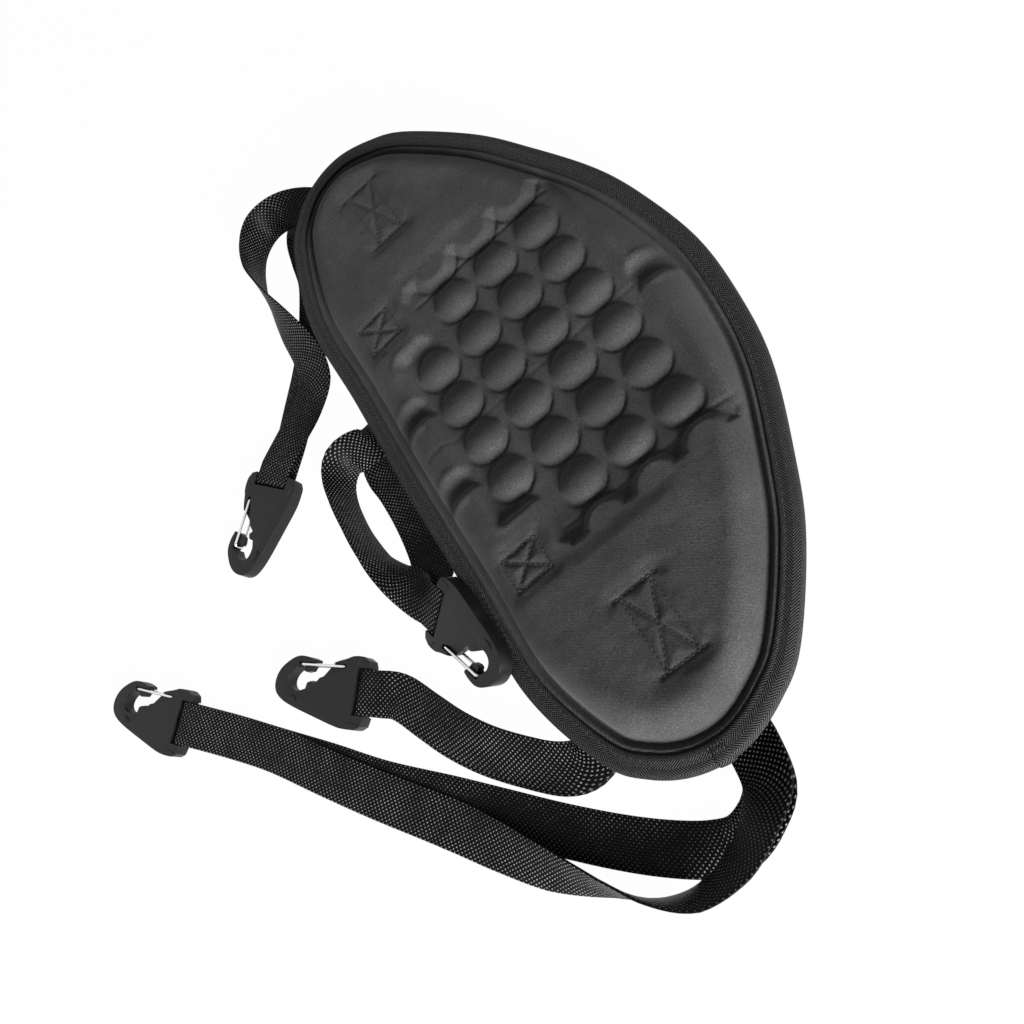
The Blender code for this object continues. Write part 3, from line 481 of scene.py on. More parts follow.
def cushion_top(points):
    """Height of the cloth on the moulded front, with its domes, walls, seams and folds."""
    depth = signed_depth(points, FLANGE_LOOP)
    side = 1 - (1 - np.clip((depth - VALLEY) / FRONT_SLOPE, 0, 1)) ** SHOULDER_POWER
    inside = signed_depth(points, RECESS_LOOP)
    beside = smooth((np.abs(points[:, 0]) - SIDE_START) / WALL_WIDTH)
    wall = WALL_WIDTH + (SIDE_WALL_WIDTH - WALL_WIDTH) * beside
    sunk = RECESS_DEPTH * smooth((inside - SIDE_WALL_SHIFT * beside) / wall + 0.5)
    for centre in dome_centres():
        half = abs(centre[0]) > SIDE_DOME_X - GAP
        size = SIDE_DOME_RADIUS if half else DOME_RADIUS
        radius = np.linalg.norm(points - centre, axis=1) / size
        toward = (points[:, 0] - centre[0]) / size
        swell = np.clip(1 - radius ** 2, 0, 1)
        if half:
            cap = RECESS_DEPTH * np.minimum(HALF_DOME_FLAT * swell, 1) ** HALF_DOME_ROUND
        else:
            cap = DOME_HEIGHT * swell ** DOME_ROUND * (1 + DOME_LEAN * toward)
        facing = smooth((toward / np.maximum(radius, 1e-6) + 0.3) / 0.9)
        ditch = DITCH[0] * bell((radius - DITCH[1]) / DITCH[2]) * facing * (inside > 0.001)
        sunk = np.minimum(sunk, np.where(radius < 1, RECESS_DEPTH - cap, sunk)) + ditch
    lip = LIP_HEIGHT * (1 - beside) * bell((inside + LIP_PLACE) / LIP_WIDTH)
    roll = ROLL_HEIGHT * smooth((depth - BINDING_REACH - GAP) / ROLL_RAMP)
    roll = roll * (1 - smooth((depth - ROLL_END) / ROLL_FALL))
    valley = VALLEY_DEPTH * bell((depth - VALLEY) / VALLEY_WIDTH)
    crown = CROWN_HEIGHT * smooth(depth / CROWN_START - 1) * (1 - smooth(inside / 0.01 + 1))
    ripple = sum(height * soft_noise(points, size, seed) for height, size, seed in RIPPLES)
    top = rise(points[:, 0]) + FLANGE_TOP + (PLATEAU_HEIGHT - FLANGE_TOP - sunk) * side
    shape = (lip + crown + ripple - sewn_dents(points) - creases(points)) * side
    return top + roll - valley + shape * smooth((depth - FLANGE_WIDTH) / 0.004)


def grid_points(loop, pitch, margin):
    """The loop's own points, then a staggered grid that fills its inside."""
    low, high = loop.min(0), loop.max(0)
    rows = int((high[1] - low[1]) / (pitch * ROW_SHARE))
    columns = int((high[0] - low[0]) / pitch)
    i, j = np.meshgrid(np.arange(columns + 1), np.arange(rows + 1))
    grid = np.stack([low[0] + (i + 0.5 * (j % 2)) * pitch, low[1] + j * pitch * ROW_SHARE], -1)
    grid = grid.reshape(-1, 2)
    return np.concatenate([loop, grid[signed_depth(grid, loop) > margin]])


def triangulate(points, edge_count):
    """Triangles that join the points inside the loop of the first edge_count points."""
    flat = [Vector(p) for p in points]
    edges = [(i, (i + 1) % edge_count) for i in range(edge_count)]
    _, _, faces, origin, _, _ = delaunay_2d_cdt(flat, edges, [], 1, 1e-7)
    source = [ids[0] for ids in origin]
    return [tuple(source[v] for v in face) for face in faces]


def closed_panel(top, top_z, bottom, bottom_z, edge_count):
    """Points and faces of a closed sheet between two faces that share their outline."""
    verts = [(x, y, z) for (x, y), z in zip(top, top_z)]
    verts += [(x, y, z) for (x, y), z in zip(bottom, bottom_z)]
    start = len(top)
    faces = triangulate(top, edge_count)
    faces += [tuple(start + v for v in reversed(f)) for f in triangulate(bottom, edge_count)]
    for i in range(edge_count):
        j = (i + 1) % edge_count
        faces.append((i, j, start + j, start + i))
    return verts, faces


def build_cushion(cloth):
    """The moulded foam front under its knit cloth."""
    fine = grid_points(FLANGE_LOOP, *CUSHION_GRID)
    coarse = grid_points(FLANGE_LOOP, *UNDERSIDE_GRID)
    edge = len(FLANGE_LOOP)
    verts, faces = closed_panel(fine, cushion_top(fine), coarse, front_under(coarse), edge)
    made = new_piece("cushion_front", verts, faces, cloth)
    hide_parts("front_panel")


def build_back(cloth):
    """The back panel's cloth, pulled in a little and unevenly inside the flange."""
    fine = grid_points(FLANGE_LOOP, *BACK_GRID)
    edge = len(FLANGE_LOOP)
    depth = signed_depth(fine, FLANGE_LOOP)
    inner = smooth((depth - FLANGE_WIDTH) / 0.02)
    under = back_under(fine) + 0.0002 * inner * (1 + soft_noise(fine, 0.009, 3))
    verts, faces = closed_panel(fine, back_top(fine), fine, under, edge)
    made = new_piece("back_cloth", verts, faces, cloth)
    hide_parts("back_panel")


# Edge tape

def tape_section():
    """Section of the folded tape: across and up from the flange's edge, outside then inside."""
    reach, inner, outer = -BINDING_REACH, TAPE_INNER, TAPE_OUTER
    section = [(reach + 0.0001, inner + 0.0004), (reach, outer - 0.0004),
               (reach + 0.0004, outer - 0.0001), (-0.0052, outer), (-0.0040, outer - 0.0002),
               (-0.0020, outer + 0.0001), (0.0000, outer - 0.0001)]
    for k in range(1, 10):
        turn = math.radians(90 - 18 * k)
        section.append((BINDING_WRAP * math.cos(turn) ** 0.9, (outer - 0.0001) * math.sin(turn)))
    section += [(x, -z) for x, z in section[:7][::-1]]
    edge = BINDING_WRAP - BINDING_THICKNESS
    return section + [(reach + 0.0004, -inner), (GAP, -inner), (0.45 * edge, 0.0),
                      (GAP, inner), (reach + 0.0004, inner)]


def build_tape(tape):
    """Herringbone tape swept round the pad's edge, with a map along and across the tape."""
    section = tape_section()
    run = distances(OUTLINE, closed=True)
    ring = np.stack([np.array(run[:-1]), np.zeros(len(OUTLINE))], 1)
    waver = TAPE_WAVER[0] * soft_noise(ring, *TAPE_WAVER[1:])
    verts = []
    for i, (place, side) in enumerate(zip(FLANGE_LOOP, OUTWARD)):
        for across, up in section:
            x, y = place + side * (across + waver[i] * (across < -0.005))
            verts.append((x, y, TAPE_MIDDLE + float(rise(place[0] if across < 0 else x)) + up))
    faces, maps = sweep_skin(run, distances(section, closed=True), closed=True)
    made = new_piece("edge_tape", verts, faces, tape, maps)
    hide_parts("edge_binding")


def build_tape_end(tape, thread):
    """The tape's end folded over its start near the pad's right end, held by a bar tack."""
    near = np.linalg.norm(FLANGE_LOOP - np.array(TAPE_END), axis=1).argmin()
    picks = [(near + k) % len(FLANGE_LOOP) for k in range(TAPE_END_STEPS)]
    shell = tape_section()[1:-6]
    ring = shell + shell[::-1]
    size, last = len(ring), len(picks) - 1
    run, span = distances(OUTLINE[picks]), distances(ring, closed=True)
    verts = []
    for n, i in enumerate(picks):
        fade = 0.55 + 0.45 * math.sin(math.pi * n / last)
        for k, (across, up) in enumerate(ring):
            away = np.array([max(across, 0.0), up])
            lift = TAPE_END_ROOM + (TAPE_END_RISE * fade if k < len(shell) else 0)
            away = away / np.linalg.norm(away) * lift
            x, y = FLANGE_LOOP[i] + OUTWARD[i] * (across + away[0])
            verts.append((x, y, TAPE_MIDDLE + float(rise(x)) + up + away[1]))
    faces, maps = sweep_skin(run, span)
    for n in (0, last):
        for k in range(len(shell) - 1):
            faces.append(tuple(n * size + v for v in (k, k + 1, size - 2 - k, size - 1 - k)))
            maps.append([(run[n], span[k]), (run[n], span[k + 1]),
                         (run[n], span[k + 1]), (run[n], span[k])])
    new_piece("edge_tape_end", verts, faces, tape, maps)
    top = TAPE_MIDDLE + TAPE_OUTER + TAPE_END_RISE
    middle = picks[TAPE_END_STEPS // 2]
    base, side = FLANGE_LOOP[middle], OUTWARD[middle]
    along = np.array([-side[1], side[0]])
    seams = [[base - side * 0.0065 + along * s, base - side * 0.0010 + along * s]
             for s in (-0.0032, -0.0016, 0.0, 0.0016, 0.0032)]
    add_stitches("tape_bar_tack", seams, lambda p: rise(p[:, 0]) + top, thread,
                 pitch=0.0028)


# Stitches

def stitch_shape():
    """One stitch: a small thread loop that rises from the cloth and dives again."""
    select_only()
    bpy.ops.mesh.primitive_uv_sphere_add(segments=6, ring_count=4, radius=0.5)
    bead = bpy.context.object
    points = [Vector((v.co.z, v.co.x, v.co.y)) for v in bead.data.vertices]
    faces = [tuple(f.vertices) for f in bead.data.polygons]
    bpy.data.objects.remove(bead)
    return points, faces


def add_stitches(name, seams, height, thread, pitch=STITCH_PITCH, up=1.0, width=THREAD):
    """Stitches along seams, each seam a list of plane points; height gives the cloth's height."""
    points, faces = stitch_shape()
    centres, ends = [], []
    for seam in seams:
        seam = np.array(seam, float)
        marks = distances(seam)
        count = max(2, round(marks[-1] / pitch))
        for k in range(count):
            pair = [np.array([np.interp(marks[-1] * (k + s) / count, marks, seam[:, c])
                              for c in (0, 1)]) for s in (0.12, 0.88)]
            centres.append((pair[0] + pair[1]) / 2)
            ends.append(pair)
    level = height(np.array(centres))
    starts = height(np.array([a for a, b in ends]))
    stops = height(np.array([b for a, b in ends]))
    verts, made = [], []
    for k, (place, (start, stop)) in enumerate(zip(centres, ends)):
        along = (Vector((*stop, stops[k])) - Vector((*start, starts[k]))).normalized()
        across = along.cross(Vector((0, 0, up))).normalized()
        out = across.cross(along)
        length, base = math.dist(start, stop), len(verts)
        for p in points:
            arch = 0.35 * width * (1 - (2 * p.x) ** 2)
            spot = Vector((*place, level[k])) + along * p.x * length + across * p.y * width
            verts.append(spot + out * (p.z * width * 0.8 + arch + 0.1 * width))
        made += [tuple(base + v for v in face) for face in faces]
    new_piece(name, verts, made, thread)


def build_stitches(thread):
    """The sewn boxes on the cushion, and the seam lines on both faces of the edge tape."""
    seams = [line for lines in sewn_boxes() for line in lines]
    add_stitches("box_stitches", seams, lambda p: cushion_top(p) + 0.0002, thread)
    line = inset_loop(FLANGE_LOOP, BINDING_REACH - 0.0024)
    loop = [np.concatenate([line, line[:1]])]
    for face, up in (("front", 1.0), ("back", -1.0)):
        level = TAPE_MIDDLE + up * (TAPE_OUTER - 0.0001)
        add_stitches("tape_stitches_" + face, loop, lambda p: rise(p[:, 0]) + level, thread,
                     TAPE_STITCH_PITCH, up, TAPE_THREAD)


# Frames of the hooks and the tri-glides

def place_frame(x, y, z, heading, pitch=0.0, roll=0.0):
    """A frame whose x axis points along a heading, raised by a pitch and turned by a roll."""
    turn = Matrix.Rotation(math.radians(heading), 4, "Z")
    turn = turn @ Matrix.Rotation(math.radians(-pitch), 4, "Y")
    turn = turn @ Matrix.Rotation(math.radians(roll), 4, "X")
    return Matrix.Translation((x, y, z)) @ turn


HALF_HOOK = HOOK_THICKNESS / 2
# Half of the webbing's slot, height of the gate's legs, and the room that the wire needs
HALF_SLOT = WEBBING_WIDTH / 2 + 2 * GAP
LEG_HEIGHT = HALF_HOOK - WIRE_DIAMETER / 2
WIRE_ROOM = WIRE_DIAMETER / 2 + GAP
HOOK_FRAMES = {
    "outer_right": place_frame(0.0090, -0.3040, HALF_HOOK, -136.0),
    "inner_right": place_frame(0.0705, -0.1880, HALF_HOOK, -130.0),
    "outer_left": place_frame(-0.0770, -0.1800, HALF_HOOK, -50.0),
    "inner_left": place_frame(0.0740, -PAD_BOTTOM - 0.0150, 0.0150, 20.0, 14.0, 24.0),
}
GLIDE_HEIGHT = 0.0044
GLIDE_FRAMES = {
    "outer_right": place_frame(0.1975, -0.0250, GLIDE_HEIGHT, 0.0),
    "inner_right": place_frame(0.1500, -0.0720, GLIDE_HEIGHT, -25.0),
    "outer_left": place_frame(-0.1990, -0.0380, GLIDE_HEIGHT, -150.0),
    "inner_left": place_frame(-0.0668, -0.0848, GLIDE_HEIGHT, -50.0),
}


# Snap hooks

def hook_outline():
    """Outline of the hook body: gate side, inside of the eye, catch, nose and spine."""
    rear = -HOOK_SLOT_DEPTH - HOOK_BAR_DEPTH
    ear = HALF_SLOT + HOOK_EAR
    gate_side = [
        (rear, -HALF_SLOT - 0.0010), (rear + 0.0012, -ear + 0.0020), (-0.0035, -ear),
        (0.0033, -ear), (0.0080, -0.0174), (0.0140, -0.0156), (0.0184, -0.0136),
        (0.0194, -0.0122), (0.0286, -0.0016),
    ]
    eye = [
        (0.0311, -0.0039), (0.0335, -0.0022), (0.0341, 0.0009), (0.0380, 0.0023),
        (0.0425, 0.0022), (0.0458, 0.0006), (0.0472, -0.0022), (0.0466, -0.0056),
        (0.0444, -0.0086), (0.0418, -0.0108),
    ]
    catch = [
        (0.0416, -0.0140), (0.0384, -0.0140), (0.0384, -0.0090), (0.0365, -0.0084),
        (0.0330, -0.0092), (0.0309, -0.0132), (0.0310, -0.0157),
    ]
    nose = [
        (0.0348, -0.0168), (0.0402, -0.0173), (0.0445, -0.0163), (0.0486, -0.0139),
        (0.0524, -0.0107), (0.0549, -0.0072), (0.0562, -0.0032), (0.0562, 0.0007),
        (0.0548, 0.0041), (0.0520, 0.0068), (0.0476, 0.0092), (0.0414, 0.0114),
    ]
    spine = [
        (0.0336, 0.0136), (0.0223, 0.0166), (0.0135, 0.0189), (0.0068, 0.0203),
        (0.0004, ear + 0.0015), (-0.0045, ear + 0.0010), (rear + 0.0010, ear - 0.0010),
        (rear, HALF_SLOT + 0.0010),
    ]
    return gate_side + eye + catch + nose + spine


def softened(outline):
    """The outline with points added along its soft bends; its sharp corners stay."""
    ring = [np.array(p) for p in outline]
    count = len(ring)
    bends = []
    for i in range(count):
        a, b = ring[i] - ring[i - 1], ring[(i + 1) % count] - ring[i]
        bends.append(abs(math.degrees(math.atan2(a[0] * b[1] - a[1] * b[0], a @ b))))
    made = []
    for i in range(count):
        j = (i + 1) % count
        made.append(tuple(ring[i]))
        if max(bends[i], bends[j]) < SOFT_BEND:
            for t in (1 / 3, 2 / 3):
                made.append(tuple(catmull(ring[i - 1], ring[i], ring[j], ring[(j + 1) % count], t)))
    return made


def plate(name, outline, low, high):
    """A flat plate: a disc whose rim is set to an outline, then extruded to its thickness."""
    select_only()
    bpy.ops.mesh.primitive_circle_add(vertices=len(outline), radius=0.01, fill_type="NGON")
    made = bpy.context.object
    made.name = name
    for vertex, (x, y) in zip(made.data.vertices, outline):
        vertex.co = (x, y, low)
    bpy.ops.object.mode_set(mode="EDIT")
    bpy.ops.mesh.select_all(action="SELECT")
    bpy.ops.mesh.extrude_region_move(TRANSFORM_OT_translate={"value": (0, 0, high - low)})
    bpy.ops.mesh.select_all(action="SELECT")
    bpy.ops.mesh.normals_make_consistent(inside=False)
    bpy.ops.object.mode_set(mode="OBJECT")
    return made


def rectangle(x_low, x_high, y_low, y_high):
    """Corners of a rectangle."""
    return [(x_low, y_low), (x_high, y_low), (x_high, y_high), (x_low, y_high)]


def apply_modifier(piece, kind, **settings):
    """Adds a modifier, sets it and applies it."""
    select_only(piece)
    change = piece.modifiers.new(kind.lower(), kind)
    for key, value in settings.items():
        setattr(change, key, value)
    bpy.ops.object.modifier_apply(modifier=change.name)


def cut_away(piece, tools):
    """Cuts the tools out of a piece, one after the other."""
    for tool in tools:
        apply_modifier(piece, "BOOLEAN", operation="DIFFERENCE", solver="EXACT", object=tool)
        bpy.data.objects.remove(tool)


def gate_sweep():
    """The area that the gate's legs sweep, with a margin."""
    margin = WIRE_ROOM + 0.0002
    pivot = np.array(HOOK_PIVOT)
    along = np.array(HOOK_WIRE_TIP) - pivot
    reach = np.linalg.norm(along) + margin
    start = math.atan2(along[1], along[0])
    end = start + math.radians(GATE_OPENING)
    points = []
    for turn, side in ((start, -1), (end, 1)):
        spoke = np.array([math.cos(turn), math.sin(turn)])
        normal = np.array([-spoke[1], spoke[0]]) * side * margin
        near = pivot + normal - spoke * margin
        far = pivot + normal + spoke * reach
        points += [near, far] if side < 0 else [far, near]
    middle = (start + end) / 2
    points.insert(2, pivot + np.array([math.cos(middle), math.sin(middle)]) * (reach + 0.0004))
    return [tuple(p) for p in points]


def round_rims(body):
    """Rounds the hook's rims: full and thick round the eye, finer along the rest."""
    weight = body.data.attributes.new("bevel_weight_edge", "FLOAT", "EDGE")
    for edge in body.data.edges:
        a, b = (body.data.vertices[v].co for v in edge.vertices)
        x, y = (a.x + b.x) / 2, (a.y + b.y) / 2
        full = smooth((x - 0.040) / 0.006) if y > -0.0150 else smooth((x - 0.044) / 0.005)
        level = abs(a.z - b.z) < 1e-6
        weight.data[edge.index].value = float(PLAIN_RIM + (1 - PLAIN_RIM) * full) if level else 0.0
    apply_modifier(body, "BEVEL", width=HOOK_RIM, segments=5, limit_method="WEIGHT",
                   use_clamp_overlap=True)


def hook_body():
    """One hook body in its own frame: plate, rounded rims, slot, lanes, sweep and pivot."""
    body = plate("hook_blank", softened(hook_outline()), -HALF_HOOK, HALF_HOOK)
    round_rims(body)
    slot = rectangle(-HOOK_SLOT_DEPTH, -0.0002, -HALF_SLOT, HALF_SLOT)
    lane = rectangle(-0.0200, -HOOK_SLOT_DEPTH + 0.0001, -HALF_SLOT, HALF_SLOT)
    tools = [plate("slot_tool", slot, -HOOK_THICKNESS, HOOK_THICKNESS)]
    for side in (1, -1):
        bar, far = side * HOOK_BAR_THICKNESS / 2, side * HOOK_THICKNESS
        near = side * (LEG_HEIGHT - WIRE_ROOM)
        tools.append(plate("lane_tool", lane, min(bar, far), max(bar, far)))
        tools.append(plate("sweep_tool", gate_sweep(), min(near, far), max(near, far)))
    hole = [(HOOK_PIVOT[0] + WIRE_ROOM * math.cos(math.tau * k / 12),
             HOOK_PIVOT[1] + WIRE_ROOM * math.sin(math.tau * k / 12)) for k in range(12)]
    tools.append(plate("pivot_tool", hole, -HOOK_THICKNESS, HOOK_THICKNESS))
    cut_away(body, tools)
    return body


def raised_mark(name, centre, half_long, half_wide, turn, height):
    """A small raised lozenge on the hook's upper face, with soft edges."""
    c, s = math.cos(math.radians(turn)), math.sin(math.radians(turn))
    corners = []
    for k in range(8):
        angle = math.tau * k / 8
        long_way = half_long * math.copysign(abs(math.cos(angle)) ** 1.3, math.cos(angle))
        wide_way = half_wide * math.copysign(abs(math.sin(angle)) ** 1.3, math.sin(angle))
        corners.append((centre[0] + long_way * c - wide_way * s,
                        centre[1] + long_way * s + wide_way * c))
    made = plate(name, corners, HALF_HOOK - MARK_SINK, HALF_HOOK + height)
    apply_modifier(made, "BEVEL", width=MARK_RIM, segments=2, limit_method="ANGLE")
    return made


def finish_piece(piece, name, place, surface, body, angle=35.0):
    """Puts a copy of a modelled piece at its place, with its own mesh."""
    mesh = piece.data.copy()
    mesh.transform(place)
    made = link_piece(name, mesh, surface, body)
    select_only(made)
    bpy.ops.object.shade_smooth_by_angle(angle=math.radians(angle))
    return made


def gate_path():
    """Centre line of the gate's wire: two legs joined by a cross bar at the nose."""
    pivot, tip = Vector((*HOOK_PIVOT, 0.0)), Vector((*HOOK_WIRE_TIP, 0.0))
    along = (tip - pivot).normalized()
    up, bend = Vector((0, 0, LEG_HEIGHT)), WIRE_BEND
    half = [pivot + Vector((0, 0, 0.0004)), pivot + up - Vector((0, 0, bend))]
    turns = [math.radians(22.5 * k) for k in range(5)]
    for turn in turns[1:]:
        half.append(pivot + up + along * bend * (1 - math.cos(turn))
                    - Vector((0, 0, bend * (1 - math.sin(turn)))))
    for turn in turns:
        half.append(tip + up - along * bend * (1 - math.sin(turn))
                    - Vector((0, 0, bend * (1 - math.cos(turn)))))
    return half + [Vector((p.x, p.y, -p.z)) for p in reversed(half)]


def gate_wire():
    """The bent spring wire, drawn as a curve and turned into a mesh."""
    select_only()
    bpy.ops.curve.primitive_bezier_curve_add()
    line = bpy.context.object
    line.data.splines.clear()
    points = gate_path()
    spline = line.data.splines.new("POLY")
    spline.points.add(len(points) - 1)
    for point, place in zip(spline.points, points):
        point.co = (*place, 1.0)
    line.data.bevel_depth = WIRE_DIAMETER / 2
    line.data.bevel_resolution = 4
    line.data.use_fill_caps = True
    bpy.ops.object.convert(target="MESH")
    return bpy.context.object


def build_hooks(plastic, steel):
    """Four snap hooks and their wire gates."""
    body = hook_body()
    marks = {
        "hook_mark_": raised_mark("mark", (0.0428, 0.0066), 0.0038, 0.0018, -16.0, 0.0007),
        "ear_ridge_": raised_mark("ear", (-0.0022, 0.0178), 0.0050, 0.0007, -10.0, 0.0004),
        "gate_ridge_": raised_mark("gate", (-0.0005, -0.0166), 0.0026, 0.0005, 62.0, 0.0003),
    }
    gate = gate_wire()
    for side, place in HOOK_FRAMES.items():
        made = finish_piece(body, "snap_hook_" + side, place, plastic, "seat")
        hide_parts("hook_" + side)
        for name, mark in marks.items():
            finish_piece(mark, name + side, place, plastic, "seat")
        wire = finish_piece(gate, "wire_gate_" + side, place, steel,
                            "gate_" + side, angle=60.0)
        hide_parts("gate_" + side)
    for used in (body, gate, *marks.values()):
        bpy.data.objects.remove(used)


# Tri-glides

def build_glides(plastic):
    """Four adjusters: a moulded frame with two windows and rounded bars."""
    half_bar = GLIDE_BAR / 2
    side = HALF_SLOT + GLIDE_SIDE
    reach = GLIDE_PITCH + half_bar + 0.0010
    inner = GLIDE_PITCH - half_bar
    body = plate("glide_blank", rectangle(-reach, reach, -side, side), -half_bar, half_bar)
    tools = []
    for low, high in ((-inner, -half_bar), (half_bar, inner)):
        window = rectangle(low, high, -HALF_SLOT, HALF_SLOT)
        tools.append(plate("window_tool", window, -0.01, 0.01))
    cut_away(body, tools)
    apply_modifier(body, "BEVEL", width=GLIDE_RIM, segments=2, limit_method="ANGLE")
    for name, place in GLIDE_FRAMES.items():
        made = finish_piece(body, "adjuster_" + name, place, plastic, "seat")
        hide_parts("triglide_" + name)
    bpy.data.objects.remove(body)


# Webbing

HALF_WEB = WEBBING_THICKNESS / 2
LAYER = WEBBING_THICKNESS + GAP
WRAP_RADIUS = GLIDE_BAR * 0.72 + GAP + HALF_WEB


def floor_run(route):
    """Places along a stretch on the floor, from (x, y, roll, lift) in metres and degrees. Roll
    and lift may be left out where both are 0."""
    made = []
    count = len(route)
    for i, (x, y, *turned) in enumerate(route):
        roll, lift = turned or (0, 0)
        ahead, behind = route[min(i + 1, count - 1)], route[max(i - 1, 0)]
        heading = Vector((ahead[0] - behind[0], ahead[1] - behind[1], 0)).normalized()
        left = Vector((-heading.y, heading.x, 0))
        tilt = math.radians(roll)
        height = abs(math.sin(tilt)) * WEBBING_WIDTH / 2 + abs(math.cos(tilt)) * HALF_WEB + GAP
        width = left * math.cos(tilt) + Vector((0, 0, math.sin(tilt)))
        spare = STRAND_SPARE if lift > 0.0010 else 0.0
        made.append((Vector((x, y, height + lift + spare)), width.normalized()))
    return made


def in_frame(place, profile):
    """Places across a frame's y axis, from (x, z) in its own frame."""
    across = (place.to_3x3() @ Vector((0, 1, 0))).normalized()
    return [(place @ Vector((x, 0, z)), across) for x, z in profile]


def hook_turn(place):
    """The webbing's way over the hook's rear bar, through the slot and back below the bar."""
    radius = HOOK_BAR_THICKNESS / 2 + GAP + HALF_WEB
    profile = [(x, radius) for x in HOOK_LEAD]
    for k in range(9):
        turn = math.radians(90 - 22.5 * k)
        profile.append((-HOOK_SLOT_DEPTH + radius * math.cos(turn), radius * math.sin(turn)))
    return in_frame(place, profile + [(x, -radius) for x in reversed(HOOK_LEAD)])


def glide_weave(place):
    """The running strand's way below, above and below the three bars."""
    low, high = -GLIDE_BAR / 2 - GAP - HALF_WEB, WRAP_RADIUS + LAYER
    outer = GLIDE_PITCH
    near, top = outer - 0.0022, 0.0024
    return in_frame(place, [(-outer - GLIDE_LEAD, low), (-outer, low), (-near, low + 0.0005),
                            (-top, high - 0.0004), (0.0, high), (top, high - 0.0004),
                            (near, low + 0.0005), (outer, low), (outer + GLIDE_LEAD, low)])


def glide_wrap(place):
    """The strap's end: in from the hook's side, below the frame, and round the middle bar."""
    low = -GLIDE_BAR / 2 - GAP - HALF_WEB - LAYER
    profile = [(GLIDE_PITCH + GLIDE_LEAD, low), (GLIDE_PITCH, low),
               (GLIDE_PITCH * 0.55, low + 0.0004)]
    for k in range(8):
        turn = math.radians(-85 - 28 * k)
        profile.append((WRAP_RADIUS * math.cos(turn), WRAP_RADIUS * math.sin(turn)))
    return in_frame(place, profile)


def anchor_run(x, y, heading, length):
    """The webbing that is sewn to the pad's back, flat below its outer face."""
    step = Vector((math.cos(math.radians(heading)), math.sin(math.radians(heading)), 0))
    across = Vector((-step.y, step.x, 0))
    made = []
    count = math.ceil(length / ANCHOR_STEP) + 1
    for k in range(count + 1):
        spot = Vector((x, y, 0)) + step * length * (k / count - 0.5)
        near = [spot + across * WEBBING_WIDTH / 2 * i + step * ANCHOR_STEP * j
                for i in (-1, 0, 1) for j in (-1, 0, 1)]
        height = min(back_under(np.array([[p.x, p.y] for p in near])))
        made.append((Vector((spot.x, spot.y, float(height) - GAP - HALF_WEB)), across))
    return made


def strap_line(places):
    """The strap's places on one smooth curve, a small even step apart."""
    aligned = [places[0]]
    for point, width in places[1:]:
        if width.dot(aligned[-1][1]) < 0:
            width = -width
        aligned.append((point, width))
    count = len(aligned)
    made = []
    for i in range(count - 1):
        picks = [aligned[min(max(i + k, 0), count - 1)] for k in (-1, 0, 1, 2)]
        run = (picks[2][0] - picks[1][0]).length
        steps = max(1, round(run / WEBBING_STEP))
        for k in range(steps):
            t = k / steps
            width = picks[1][1].lerp(picks[2][1], t).normalized()
            made.append((catmull(*[p[0] for p in picks], t), width))
    made.append(aligned[-1])
    return made


def webbing_section():
    """Section of the webbing: a flat band with soft edges; across and out of its face."""
    half, thick, edge = WEBBING_WIDTH / 2, HALF_WEB, 0.0007
    upper = [(-half, 0.0), (-half + edge * 0.3, thick * 0.75), (-half + edge, thick)]
    upper += [(-half / 2, thick), (0.0, thick), (half / 2, thick)]
    upper += [(half - edge, thick), (half - edge * 0.3, thick * 0.75), (half, 0.0)]
    return upper + [(-x, -z) for x, z in upper[1:-1]]


def build_strap(side, places, webbing):
    """One strap as a closed band, with a map along its length and across its width."""
    line = strap_line(places)
    section = webbing_section()
    size, last = len(section), len(line) - 1
    verts = []
    for i, (point, width) in enumerate(line):
        along = line[min(i + 1, last)][0] - line[max(i - 1, 0)][0]
        across = (width - along * width.dot(along) / along.length_squared).normalized()
        normal = along.cross(across).normalized()
        for x, z in section:
            verts.append(point + across * x + normal * z)
    run = distances([point for point, width in line])
    span = [x for x, z in section] + [section[0][0]]
    faces, maps = sweep_skin(run, span)
    for i, step in ((0, 1), (last, -1)):
        order = range(size)[::step]
        faces.append(tuple(i * size + k for k in order))
        maps.append([(run[i], span[k]) for k in order])
    made = new_piece("webbing_" + side, verts, faces, webbing, maps)
    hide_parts("strap_" + side)
    return run[-1]


